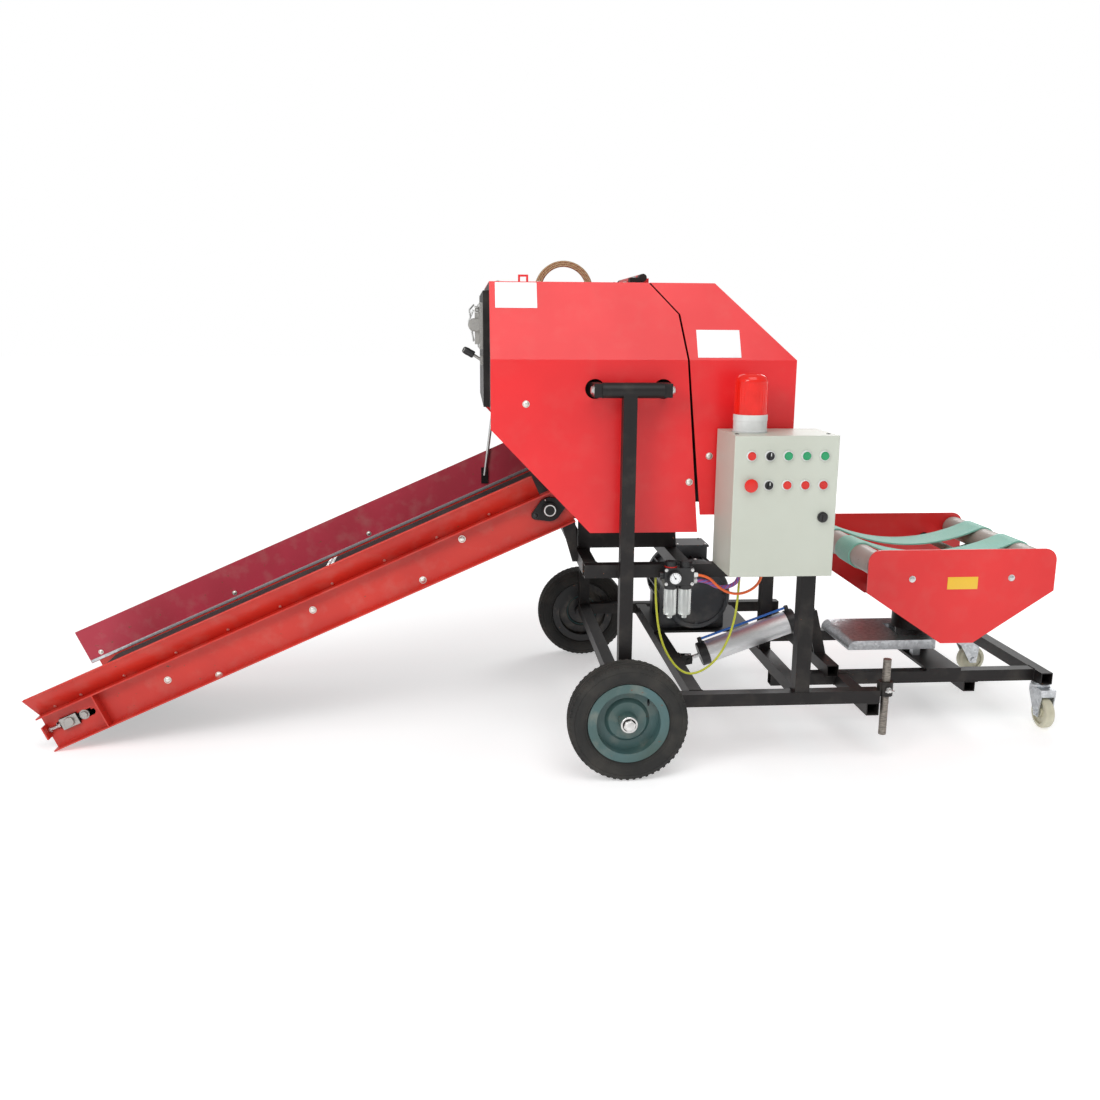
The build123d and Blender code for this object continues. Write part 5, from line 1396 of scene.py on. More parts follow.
@dataclass
class Hood(Assembly):
    """Front hood and gate: blank plates, round-headed screws and the arms' bolts.

    Attributes:
        side: Distance of the upright panels from the middle.
        fold: Height of the fold under the leaning panels.
        roof: Height of the roof.
        narrow: Half width at the roof.
        plate: Thickness of a blank plate.
    """

    side: float = 470.0
    fold: float = 1231.0
    roof: float = 1454.0
    narrow: float = 358.0
    plate: float = 1.2

    def on_lean(self, x: float, share: float, lift: float) -> Point:
        """Point on the near leaning panel.

        Args:
            x: Place along the machine.
            share: Way up the panel from 0 to 1.
            lift: Distance out of the panel.

        Returns:
            The point.
        """
        rise, run = self.roof - self.fold, self.side - self.narrow
        slope = math.hypot(rise, run)
        y = -self.side + share * run - lift * rise / slope
        return (x, y, self.fold + share * rise + lift * run / slope)

    def blank(self, name: str, body: Body, left: float, right: float, low: float, high: float) -> None:
        """Bare white plate on the near leaning panel.

        Args:
            name: Name of the piece.
            body: Body that it rides on.
            left: Left edge.
            right: Right edge.
            low: Lower edge as a share of the panel.
            high: Upper edge as a share of the panel.
        """
        corners = [self.on_lean(x, share, 0.2) for x, share in rectangle((left, low), (right, high))]
        depth = Vector(self.on_lean(0, 0, self.plate)) - Vector(self.on_lean(0, 0, 0))
        Workpiece().prism(corners, tuple(depth), 0.4).finish(name, Finish.PLATE_WHITE, body)

    def build(self) -> None:
        """Makes the plates and screws."""
        self.blank("hood_blank_plate", Body.FRAME, -380, -257, 0.655, 0.985)
        self.blank("gate_blank_plate", Body.GATE, 211, 340, 0.03, 0.385)
        hood, gate = [], []
        for out in SIDES:
            face, way = out * self.side, (0, out, 0)
            hood += [((x, face, z), way) for x, z in ((-294, 1103), (196, 871))]
            gate.append(((254, face, 949), way))
        self.stock.dome.fit("hood_screws", hood, Body.FRAME, 9.5, 5.0, 10.5)
        self.stock.dome.fit("gate_screws", gate, Body.GATE, 9.5, 5.0, 10.5)
        arms = []
        for out in SIDES:
            arms += [((-104, out * 540, 1147), (-1, 0, 0)), ((122, out * 540, 1147), (1, 0, 0))]
        self.stock.hexagon.fit("arm_bolts", arms, Body.FRAME, 11.0, 8.0, 15.0)
        roof = [((x, y, self.roof), UP) for x in (-370, -250, 10) for y in (-330, 330)]
        self.stock.dome.fit("roof_screws", roof, Body.FRAME, 6.5, 3.5, 8.0)
        hinges = [((54, out * y, 1473), UP) for out in SIDES for y in (212, 230)]
        self.stock.hexagon.fit("hinge_bolts", hinges, Body.FRAME, 5.0, 3.6, 7.0)


@dataclass
class TyingGear(Assembly):
    """Twine gear on the front panel: grip, guides and spring.

    Attributes:
        panel: Face of the front panel.
        across: Place across the machine.
        height: Height of the reel's axis.
    """

    panel: float = -415.0
    across: float = -250.0
    height: float = 1328.0

    def build(self) -> None:
        """Makes the pieces."""
        face, y, z = self.panel, self.across, self.height
        grip = [(0, -2), (9, -2), (11, 0), (11.4, 5), (10.8, 12), (11.6, 20)]
        grip += [(10.8, 28), (9.5, 33.5), (6, 36), (0, 36.6)]
        Workpiece().lathe(grip, (face - 29, y, 1238), (-29, 0, 16), 28).finish("lever_grip", Finish.BLACK)
        wires = Workpiece()
        for start, end in (
            ((-28, -18, -50), (-40, -12, 44)),
            ((-40, -12, 44), (-26, 8, 60)),
            ((-26, 26, -48), (-42, 22, 10)),
            ((-42, 22, 10), (-27, 40, 46)),
        ):
            low = (face + start[0], y + start[1], z + start[2])
            high = (face + end[0], y + end[1], z + end[2])
            wires.bar(low, high, 5.0, 14, 0.6)
        wires.finish("twine_guides", Finish.BRIGHT)
        coil = Workpiece().spring((face - 17, y - 38, z + 44), (face - 17, y + 4, z + 44), 8.0, 2.2, 9)
        coil.bar((face - 17, y - 44, z + 44), (face - 17, y + 10, z + 44), 6.0, 12, 0.5)
        coil.finish("knife_spring", Finish.BRIGHT)
        discs = Workpiece()
        rim = [(0, -2), (19, -2), (20, -1), (20, 1), (19, 2), (0, 2)]
        for offset in (-34.0, 34.0):
            discs.lathe(rim, (face - 24, y + offset, z), FAR, 36)
        discs.finish("reel_discs", Finish.ROLLER_STEEL)
        spots = [((face - 10, y + out * 48, z + lift), (-1, 0, 0)) for out in SIDES for lift in (-62, 56)]
        self.stock.hexagon.fit("tying_bolts", spots, Body.FRAME, 5.5, 4.0, 7.5)


@dataclass
class Conveyor(Assembly):
    """Feed conveyor: screws, rivets, take-up rods, bearing bolts and belt joint.

    Attributes:
        length: Length along the slope.
        head: Upper end (x, z) of its underside.
        depth: Height of the channels.
        web: Outer face of the channels' webs from the middle.
        lip_out: How far the lip leans out.
        lip_rise: How far the lip stands up.
        seam: Way up the lip to its rivets, from 0 to 1.
        shaft: Height of the drums' shafts above the underside.
    """

    length: float = 1800.0
    head: tuple[float, float] = (-128.0, 725.0)
    depth: float = 120.0
    web: float = 284.0
    lip_out: float = 52.0
    lip_rise: float = 72.0
    seam: float = 0.12
    shaft: float = 65.0

    @property
    def slope(self) -> float:
        """Angle of the belt in radians."""
        return math.asin(self.head[1] / self.length)

    def at(self, u: float, y: float, n: float) -> Point:
        """Point along the conveyor.

        Args:
            u: Distance from its lower end.
            y: Place across.
            n: Height above its underside, square to the belt.

        Returns:
            The point.
        """
        along, rise = math.cos(self.slope), math.sin(self.slope)
        start = self.head[0] - self.length * along
        return (start + u * along - n * rise, y, u * rise + n * along)

    def way(self, u: float, y: float, n: float) -> Point:
        """Direction in the shared frame for one along the conveyor."""
        return tuple(Vector(self.at(u, y, n)) - Vector(self.at(0, 0, 0)))

    def build(self) -> None:
        """Makes the pieces."""
        spots = ((-1421, 219), (-1261, 232), (-958, 442), (-610, 535), (-485, 666))
        webs = [((x, out * self.web, z), (0, out, 0)) for x, z in spots for out in SIDES]
        self.stock.dome.fit("conveyor_screws", webs, Body.FRAME, 10.0, 5.0, 11.5)
        lean = math.hypot(self.lip_out, self.lip_rise)
        facing = self.way(0, -self.lip_rise / lean, -self.lip_out / lean)
        y, n = -self.web - self.seam * self.lip_out, self.depth + self.seam * self.lip_rise
        places = (60, 150, 300, 480, 660, 840, 1020, 1200, 1380, 1560)
        rivets = [(self.at(u, y, n), facing) for u in places]
        self.stock.dome.fit("lip_rivets", rivets, Body.FRAME, 4.5, 2.4, 5.0)
        faces = ((280.0, NEAR), (283.0, FAR))
        board = [(self.at(u, y, self.depth + 26), way) for y, way in faces for u in (20, 560, 1100)]
        self.stock.dome.fit("board_screws", board, Body.FRAME, 7.5, 4.0, 9.0)
        self.take_up()
        self.bearings()
        self.lip_edge()

    def take_up(self) -> None:
        """Makes the screws, springs and sliders of the belt's take-up, and the stay's sleeve."""
        nuts, sliders = Workpiece(), Workpiece()
        stub = [(0, 0), (15.4, 0), (15.4, 8), (14.2, 9.2), (0, 9.2)]
        washer = [(0, 0), (16, 0), (16, 2.4), (0, 2.4)]
        for out in SIDES:
            y, way = out * (self.web + 5), (0, out, 0)
            for u in (-9, 7, 40):
                nuts.hexagon(self.at(u, y, self.shaft), self.way(1, 0, 0), 9.0, 7.0)
            nuts.spring(self.at(15, y, self.shaft), self.at(39, y, self.shaft), 5.4, 1.6, 5)
            nuts.bar(self.at(-14.2, y, self.shaft), self.at(48, y, self.shaft), 9.6, 16)
            face = out * (self.web + 10)
            corners = [self.at(u, face, n) for u, n in rectangle((49.5, 46.5), (106.5, 83.5))]
            sliders.prism(corners, (0, out * 1.2, 0))
            sliders.lathe(stub, self.at(78, face, self.shaft), way, 36)
            sliders.hexagon(self.at(126, out * self.web, self.shaft), way, 11.5, 8.0)
            sliders.lathe(washer, self.at(126, out * (self.web - 1), self.shaft), way, 28)
        nuts.finish("take_up_nuts", Finish.BRIGHT)
        sliders.finish("take_up_sliders", Finish.ROLLER_STEEL)
        foot, tab = (-402.0, 272.0, 790.0), (-366.0, 272.0, 1063.0)
        Workpiece().bar(foot, tab, 11.2, 20, 0.4).finish("stay_sleeve", Finish.BRIGHT)

    def bearings(self) -> None:
        """Makes the bolts, lock rings and grease nipples of the two head bearings."""
        bolts, rings = [], Workpiece()
        ring = [(15.2, 0), (18, 0), (19, 1), (19, 6), (18, 7), (15.2, 7)]
        middle = self.length - 60
        for out in SIDES:
            face, way = out * (self.web + 10), (0, out, 0)
            bolts += [(self.at(middle + ear, face, self.shaft), way) for ear in (-48, 48)]
            rings.lathe(ring, self.at(middle, face + out * 16, self.shaft), way, 36)
            nipple = [self.at(middle, face + out * y, self.shaft + n) for y, n in ((3, 30), (12, 36))]
            rings.bar(*nipple, 5.5, 12, 0.6)
        rings.finish("bearing_rings", Finish.BRIGHT)
        self.stock.dark.fit("bearing_bolts", bolts, Body.FRAME, 8.5, 5.0, 10.0)

    def lip_edge(self) -> None:
        """Makes the rolled edges of the lip and the board, and the belt's joint."""
        y, n = -self.web - self.lip_out + 3.0, self.depth + self.lip_rise - 2.0
        edge = Workpiece().bar(self.at(4, y, n), self.at(self.length - 74, y, n), 7.0)
        edge.finish("lip_rolled_edge", Finish.CONVEYOR_RED)
        outline = rectangle((-28, self.depth + 2), (self.length - 72, self.depth + 12))
        strip = Workpiece().prism([self.at(u, 279.9, n) for u, n in outline], (0, -2.2, 0), 0.4)
        strip.finish("board_edge_strip", Finish.ZINC)
        joint = Workpiece()
        for index in range(34):
            y = -262 + index * 15.9
            joint.bar(self.at(930, y, 117.3), self.at(962, y, 117.3), 3.4, 10, 0.6)
        joint.bar(self.at(946, -264, 117.8), self.at(946, 264, 117.8), 4.4, 12, 0.6)
        joint.finish("belt_joint", Finish.BRIGHT)


class Cap(Enum):
    """Kinds of control on the cabinet's door."""

    RED = Finish.RED
    GREEN = Finish.GREEN
    SELECTOR = Finish.BLACK
    STOP = Finish.STOP_RED


@dataclass
class Cabinet(Assembly):
    """Switch cabinet: buttons, selectors, lock, lamp and cable glands.

    Attributes:
        face: Front of the door.
        left: Middle of the first column of buttons.
        pitch: Distance between columns.
        rows: Heights of the rows with their controls.
        lock: Middle (x, z) of the lock.
        lamp: Middle (x, y) of the warning lamp.
    """

    face: float = -694.0
    left: float = 321.0
    pitch: float = 52.0
    rows: tuple[tuple[float, tuple[Cap, ...]], ...] = (
        (976.0, (Cap.RED, Cap.SELECTOR, Cap.GREEN, Cap.GREEN, Cap.GREEN)),
        (894.0, (Cap.STOP, Cap.SELECTOR, Cap.RED, Cap.RED, Cap.RED)),
    )
    lock: tuple[float, float] = (533.0, 802.0)
    lamp: tuple[float, float] = (344.0, -579.0)

    def build(self) -> None:
        """Makes the controls, the lock, the lamp's ribs and the glands."""
        self.controls()
        self.door_lock()
        self.warning_lamp()
        self.glands()
        back = [((x, -644.0, 1032.0), UP) for x in (290, 554)]
        self.stock.dark.fit("cabinet_plugs", back, Body.FRAME, 5.0, 2.5, 6.0)

    def controls(self) -> None:
        """Makes the bezels and the caps of the buttons and selectors."""
        bezels = Workpiece()
        caps = {kind: Workpiece() for kind in Cap}
        ring = [(12.2, 0), (15, 0), (15, 2.5), (14, 5.2), (12.2, 6)]
        button = [(0, 0), (11.8, 0), (11.8, 7.5), (10.8, 9), (9.6, 9.4), (8.8, 8.6), (0, 8.2)]
        knob = [(0, 0), (11.8, 0), (11.8, 8), (10.8, 9), (0, 9)]
        stop = [(0, 0), (11, 0), (11, 7), (17, 8.5), (19, 10), (19, 13), (17.4, 15), (12, 16), (0, 16)]
        outline = ((-5, -10.5), (1, -11.5), (5, 10.5), (-1, 11.5))
        profiles = {Cap.RED: button, Cap.GREEN: button, Cap.SELECTOR: knob, Cap.STOP: stop}
        for height, row in self.rows:
            for column, kind in enumerate(row):
                x = self.left + column * self.pitch
                bezels.lathe(ring, (x, self.face, height), NEAR, 36)
                caps[kind].lathe(profiles[kind], (x, self.face, height), NEAR, 36)
                if kind is Cap.SELECTOR:
                    handle = [(x + dx, self.face - 8.6, height + dz) for dx, dz in outline]
                    caps[kind].prism(handle, (0, -7.0, 0), 1.2)
                    low = (x - 1.3, self.face - 16.0, height + 1)
                    bezels.box(low, (x + 1.3, self.face - 15.0, height + 9.5), 0.3)
        bezels.finish("button_bezels", Finish.WHITE, Body.DOOR, "control_plastic", ["door_controls"])
        for kind, piece in caps.items():
            piece.finish(f"{kind.name.lower()}_caps", kind.value, Body.DOOR)

    def door_lock(self) -> None:
        """Makes the quarter-turn lock."""
        x, z = self.lock
        barrel = [(0, 0), (15, 0), (15, 5), (13.4, 7), (11, 7.4), (11, 12), (10, 13), (0, 13)]
        lock = Workpiece().lathe(barrel, (x, self.face, z), NEAR, 36)
        lock.box((x - 3.5, self.face - 16, z - 11), (x + 3.5, self.face - 12, z + 11), 1.0)
        lock.finish("door_lock", Finish.BLACK, Body.DOOR)

    def warning_lamp(self) -> None:
        """Makes the ribs, the cap ring and the foot ring of the lamp."""
        x, y = self.lamp
        ribs = RingPattern(Finish.LENS)
        ribs.fit("lamp_ribs", Body.FRAME, 30, 45.2, (3.0, 4.6, 88.0), (x, y, 1127.0))
        seal = [(44, 0), (49.5, 0), (50, 1), (50, 5), (48.6, 6.4), (44, 6.4)]
        Workpiece().lathe(seal, (x, y, 1032.1), UP, 48).finish("lamp_seal", Finish.GREY)
        ring = [(44, 0), (48.4, 0), (49, 0.8), (49, 17), (47.4, 18.6), (44, 18.6)]
        Workpiece().lathe(ring, (x, y, 1064.0), UP, 48).finish("lamp_ring", Finish.WHITE)

    def glands(self) -> None:
        """Makes the glands of the leads under the cabinet."""
        glands = Workpiece()
        for x, y, bore in ((347, -528, 3.6), (405, -568, 4.1), (343, -547, 6.1)):
            outer = bore + 4.2
            shape = [(bore, -17), (outer - 1.6, -17), (outer, -12), (outer, -8)]
            shape += [(outer + 2, -7.4), (outer + 2, 0), (bore, 0)]
            glands.lathe(shape, (x, y, 629.9), UP, 24)
        glands.finish("cable_glands", Finish.BLACK)


@dataclass
class AirGear(Assembly):
    """Air unit and air cylinder: gauge, knobs, bowl collars, caps and tube.

    Attributes:
        columns: Places of the two bowls along the machine.
        axis: Place of the bowls across.
        front: Front of the unit's block.
        top: Top of the block.
        eye: Rear pin (x, y, z) of the cylinder.
        tilt: Angle of the cylinder in degrees.
    """

    columns: tuple[float, float] = (134.0, 178.0)
    axis: float = -544.0
    front: float = -564.0
    top: float = 628.0
    eye: Point = (280.0, -160.0, 216.0)
    tilt: float = 20.0

    def on_rod(self, distance: float, lift: float = 0.0) -> Point:
        """Point beside the cylinder's axis.

        Args:
            distance: Distance from the rear pin.
            lift: Distance above the axis.

        Returns:
            The point.
        """
        turn = math.radians(self.tilt)
        x = self.eye[0] + distance * math.cos(turn) - lift * math.sin(turn)
        return (x, self.eye[1], self.eye[2] + distance * math.sin(turn) + lift * math.cos(turn))

    def build(self) -> None:
        """Makes the pieces."""
        self.gauge()
        self.columns_detail()
        self.cylinder()
        spots = [((x, self.front, z), NEAR) for x in (117, 195) for z in (580, 622)]
        self.stock.hexagon.fit("air_unit_bolts", spots, Body.FRAME, 4.0, 2.6, 5.0)

    def gauge(self) -> None:
        """Makes the pressure gauge's rim, face and hand."""
        x, z = self.columns[0] + 8, 600.0
        rim = [(17, 0), (20.4, 0), (21, 1), (21, 4.4), (20, 5.6), (17.4, 5.6), (17, 4.6)]
        front = self.front - 10.5
        Workpiece().lathe(rim, (x, front, z), NEAR).finish("gauge_rim", Finish.BLACK)
        dial = [(0, 0), (17.1, 0), (17.1, 4.0), (0, 4.0)]
        Workpiece().lathe(dial, (x, front, z), NEAR).finish("gauge_face", Finish.PLATE_WHITE)
        hand, middle = Workpiece(), Vector((x, front - 4.2, z))
        for step in range(11):
            turn = math.radians(225 - 27 * step)
            way = Vector((math.cos(turn), 0, math.sin(turn)))
            hand.bar(tuple(middle + way * 12.4), tuple(middle + way * 15.6), 1.0, 6, 0.1)
        hand.bar((x + 2, front - 4.6, z - 3), (x - 7, front - 4.6, z + 10), 1.3, 8, 0.2)
        hand.lathe([(0, 0), (2.4, 0), (2.4, 1.2), (0, 1.6)], (x, front - 4, z), NEAR, 16)
        hand.finish("gauge_hand", Finish.BLACK)

    def columns_detail(self) -> None:
        """Makes the knobs' ribs, the bowls' collars and the push-in fittings."""
        ribs = RingPattern(Finish.BLACK)
        collars, fittings = Workpiece(), Workpiece()
        block = (2.4, 2.0, 12.0)
        collar = [(18.9, -12), (20.6, -12), (21, -11), (21, -1), (20, 0), (18.9, 0)]
        for index, x in enumerate(self.columns, 1):
            ribs.fit(f"knob_ribs_{index}", Body.FRAME, 24, 17.0, block, (x, self.axis, self.top + 11))
            collars.lathe(collar, (x, self.axis, 574.8), UP, 36)
        ring = [(16, 0), (18.4, 0), (18.8, 1), (18.8, 3), (16, 3)]
        rings = Workpiece().lathe(ring, (self.columns[0], self.axis, self.top + 0.2), UP, 36)
        for y, z, bore in ((-558, 606, 4.1), (-547, 587, 6.1)):
            sleeve = [(bore, 0), (bore + 3.4, 0), (bore + 3.4, 9)]
            sleeve += [(bore + 2.4, 10), (bore + 2.8, 12), (bore, 12.6)]
            fittings.lathe(sleeve, (200.1, y, z), (1, 0, 0), 24)
        collars.finish("bowl_collars", Finish.BLACK)
        rings.finish("knob_ring", Finish.RED)
        fittings.finish("push_in_fittings", Finish.WHITE)

    def cylinder(self) -> None:
        """Makes the cylinder's end caps, its fittings and the tube along it."""
        caps = Workpiece()
        cap = [(11, -1), (38.6, -1), (40.8, 0.8), (41, 3), (41, 27), (40, 28.4)]
        cap += [(39.05, 28.4), (39.05, 0.02), (11, 0.02)]
        axis = Vector(self.on_rod(1)) - Vector(self.on_rod(0))
        caps.lathe(cap, self.on_rod(42), tuple(axis), 48)
        caps.lathe(cap, self.on_rod(388), tuple(-axis), 48)
        for distance in (58, 372):
            caps.bar(self.on_rod(distance, 38), self.on_rod(distance, 58), 15.0, 20)
        caps.finish("cylinder_caps", Finish.BLACK)
        tube = Workpiece().bar(self.on_rod(64, 52), self.on_rod(366, 52), 8.0, 20, 0.4)
        tube.finish("cylinder_tube", Finish.BLUE)
        nut = Workpiece().hexagon(self.on_rod(418), tuple(axis), 17.0, 10.0)
        gland = [(9.9, 0), (15, 0), (16, 1), (16, 7), (14, 9), (9.9, 9)]
        nut.lathe(gland, self.on_rod(389), tuple(axis), 30)
        nut.finish("rod_nut", Finish.BRIGHT)


@dataclass
class Motor(Assembly):
    """Electric motor: screws of its terminal box and fan cover.

    Attributes:
        centre: Axis (x, z) of the motor.
        start: Near end across the machine.
        radius: Radius of the fan cover.
        lid: Middle (y, z) of the terminal box's lid.
    """

    centre: tuple[float, float] = (359.0, 371.0)
    start: float = 85.0
    radius: float = 125.0
    lid: tuple[float, float] = (268.0, 536.0)

    def build(self) -> None:
        """Makes the screws."""
        x, z = self.centre
        y, top = self.lid
        lid = [((x + dx, y + dy, top), UP) for dx in (-52, 52) for dy in (-52, 52)]
        self.stock.hexagon.fit("terminal_box_screws", lid, Body.FRAME, 5.0, 3.6, 6.5)
        cover = []
        for turn in (30, 90, 150, 210, 330):
            across, up = math.cos(math.radians(turn)), math.sin(math.radians(turn))
            spot = (x + self.radius * across, self.start + 52, z + self.radius * up)
            cover.append((spot, (across, 0, up)))
        self.stock.hexagon.fit("fan_cover_screws", cover, Body.FRAME, 5.0, 3.0, 6.5)


@dataclass
class WrappingTable(Assembly):
    """Turntable: bolts, blank plate, roller caps and tie collars.

    Attributes:
        centre: Turning axis along the machine.
        plate: Outer face of the side plates from the middle.
        rollers: Distance of the rollers from the axis.
        roller_z: Height of the rollers.
        ties: Distance of the tie bars from the axis.
        tie_z: Height of the tie bars.
    """

    centre: float = 1136.0
    plate: float = 340.5
    rollers: float = 276.0
    roller_z: float = 572.0
    ties: float = 167.0
    tie_z: float = 530.0

    def build(self) -> None:
        """Makes the pieces."""
        bolts, caps, collars = [], Workpiece(), Workpiece()
        cap = [(12.7, 2), (33, 2), (33.6, 3), (33.6, 7.4), (12.7, 7.4)]
        collar = [(12.6, 0), (20, 0), (20, 5), (17, 8), (12.6, 8)]
        for out in SIDES:
            inside = out * (self.plate - 6)
            for side in SIDES:
                tie, roller = self.centre + side * self.ties, self.centre + side * self.rollers
                bolts.append(((tie, out * self.plate, self.tie_z), (0, out, 0)))
                caps.lathe(cap, (roller, inside, self.roller_z), (0, -out, 0))
                collars.lathe(collar, (tie, inside, self.tie_z), (0, -out, 0), 32)
        self.stock.hexagon.fit("table_bolts", bolts, Body.TABLE, 8.5, 6.0, 11.0)
        corners = [(x, -self.plate, z) for x, z in rectangle((1088, 494), (1190, 535))]
        plate = Workpiece().prism(corners, NEAR, 0.3)
        plate.finish("table_blank_plate", Finish.PLATE_YELLOW, Body.TABLE)
        caps.finish("roller_caps", Finish.BLACK, Body.TABLE)
        collars.finish("tie_collars", Finish.FRAME_BLACK, Body.TABLE)
        base = [((self.centre + x, y, 381), UP) for x in (-45, 45) for y in (-60, 60)]
        self.stock.hexagon.fit("table_hub_bolts", base, Body.TABLE, 7.0, 5.0, 13.0)


@dataclass
class Chassis(Assembly):
    """Frame: weld seams, prop screw and casters.

    Attributes:
        tube: Side of the square tube.
        rail: Middle of the side rails across.
        level: Height of the main frame's middle.
        low: Height of the wrapper frame's middle.
        top: Height of the main frame's upper side.
        beam: Height of the mid beams.
        race: Height of the casters' swivel races.
        axle: Height of the casters' axles.
        trail: Distance from a caster's swivel to its axle.
        cheek: Distance from a caster's middle to its axle nuts.
    """

    tube: float = 40.0
    rail: float = 540.0
    level: float = 211.0
    low: float = 171.0
    top: float = 231.0
    beam: float = 610.0
    race: float = 142.5
    axle: float = 52.0
    trail: float = 33.0
    cheek: float = 26.2

    def build(self) -> None:
        """Makes the pieces."""
        self.welds()
        self.prop()
        for name, fork, spot, turned in (
            ("near", Body.NEAR_FORK, (1476.0, -282.0), (0.0, -1.0)),
            ("far", Body.FAR_FORK, (1476.0, 282.0), (1.0, 0.0)),
        ):
            self.caster(name, fork, spot, turned)

    def welds(self) -> None:
        """Lays the weld seams of the frame's joints."""
        loops = [square_loop((560, -90, self.top), "Z", self.tube)]
        loops.append(square_loop((549, -self.rail, self.top), "Z", 45))
        for out in SIDES:
            for x, y, z, normal in (
                (20, self.rail, self.level, "X"),
                (0, self.rail, self.top, "Z"),
                (0, 520, self.beam, "Y"),
                (1456, 250, self.low, "X"),
                (777, 270, self.low, "Y"),
                (735, 250, 191, "Z"),
                (1238, 250, 151, "Z"),
                (228, 520, self.level, "Y"),
                (560, 520, self.level, "Y"),
                (-101, 480, self.beam, "Y"),
                (185, 480, self.beam, "Y"),
            ):
                loops.append(square_loop((x, out * y, z), normal, self.tube))
        self.stock.weld.fit("frame_welds", loops, Body.FRAME, 2.6)

    def prop(self) -> None:
        """Makes the clamp screw of the prop's collar."""
        screw = Workpiece()
        screw.bar((821, -self.rail - 21, 234), (821, -self.rail - 40, 234), 9.0, 16)
        screw.bar((806, -self.rail - 37, 234), (836, -self.rail - 37, 234), 6.0, 14)
        screw.hexagon((821, -self.rail - 22, 234), NEAR, 10.0, 6.0)
        screw.finish("prop_clamp_screw", Finish.BRIGHT)

    def caster(
        self, name: str, fork: Body, spot: tuple[float, float], turned: tuple[float, float]
    ) -> None:
        """Makes one caster's race and axle nuts.

        Args:
            name: Side of the caster.
            fork: Body of its fork.
            spot: Place (x, y) of its swivel.
            turned: Way (x, y) that it trails.
        """
        x, y = spot[0] + self.trail * turned[0], spot[1] + self.trail * turned[1]
        axis = (turned[1], turned[0], 0.0)
        section = [(27.9, -6), (30.5, -4.4), (31.2, -2), (31.2, 2), (30.5, 4.4), (27.9, 6)]
        race = Workpiece().lathe(section, (*spot, self.race), UP)
        for side in SIDES:
            way = (side * axis[0], side * axis[1], 0.0)
            face = (x + self.cheek * way[0], y + self.cheek * way[1], self.axle)
            race.hexagon(face, way, 10.5, 5.2)
        race.finish(f"{name}_caster_race", Finish.ZINC, fork, "zinc")


class Dressing:
    """Finishes of the CAD nodes that keep their own shape."""

    BY_NODE = {
        "near_rim": Finish.RIM_TEAL,
        "far_rim": Finish.RIM_TEAL,
        # the board's colour holds a painted sheen
        "conveyor_board": Finish.BOARD_RED_AND_SHEEN,
        "table_plates": Finish.TABLE_RED,
        "hinge_pin": Finish.FRAME_BLACK,
        "prop_rod": Finish.RUSTY,
        "prop_collar": Finish.FRAME_BLACK,
        "tying_unit": Finish.ROLLER_STEEL,
        "conveyor_bearings": Finish.FRAME_BLACK,
    }
    BY_SLOT = {
        "hood_red": Finish.HOOD_RED,
        "conveyor_red": Finish.CONVEYOR_RED,
        "black_paint": Finish.FRAME_BLACK,
        "tyre_rubber": Finish.TYRE,
        "rim_teal": Finish.RIM_TEAL,
        "bare_steel": Finish.ROLLER_STEEL,
        "rusty_steel": Finish.RUSTY,
        "zinc": Finish.ZINC,
        "roller_paint": Finish.ROLLER_GREY,
        "belt_black": Finish.BELT_BLACK,
        "belt_green": Finish.BELT_GREEN,
        "cabinet_grey": Finish.CABINET_GREY,
        "control_plastic": Finish.BLACK,
        "beacon_grey": Finish.WHITE,
        "beacon_red": Finish.LENS,
        "cylinder_alu": Finish.ALUMINIUM,
        "unit_black": Finish.BLACK,
        "bowl_clear": Finish.BOWL,
        "motor_dark": Finish.MOTOR_DARK,
        "caster_tread": Finish.CASTER,
        "twine": Finish.SISAL,
        "lead_green": Finish.LIME,
        "hose_orange": Finish.ORANGE,
        "lead_purple": Finish.PURPLE,
    }

    def __init__(self, frame: dict) -> None:
        """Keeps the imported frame."""
        self.frame = frame

    def apply(self) -> None:
        """Gives every CAD node its finish."""
        for row in self.frame["record"]["subparts"]:
            node = row["node"]
            finish = self.BY_NODE.get(node, self.BY_SLOT[row["material_slot"]])
            thing = self.frame["nodes"][node]
            if not thing.material_slots:
                thing.data.materials.append(finish.material())
            for slot in thing.material_slots:
                slot.material = finish.material()


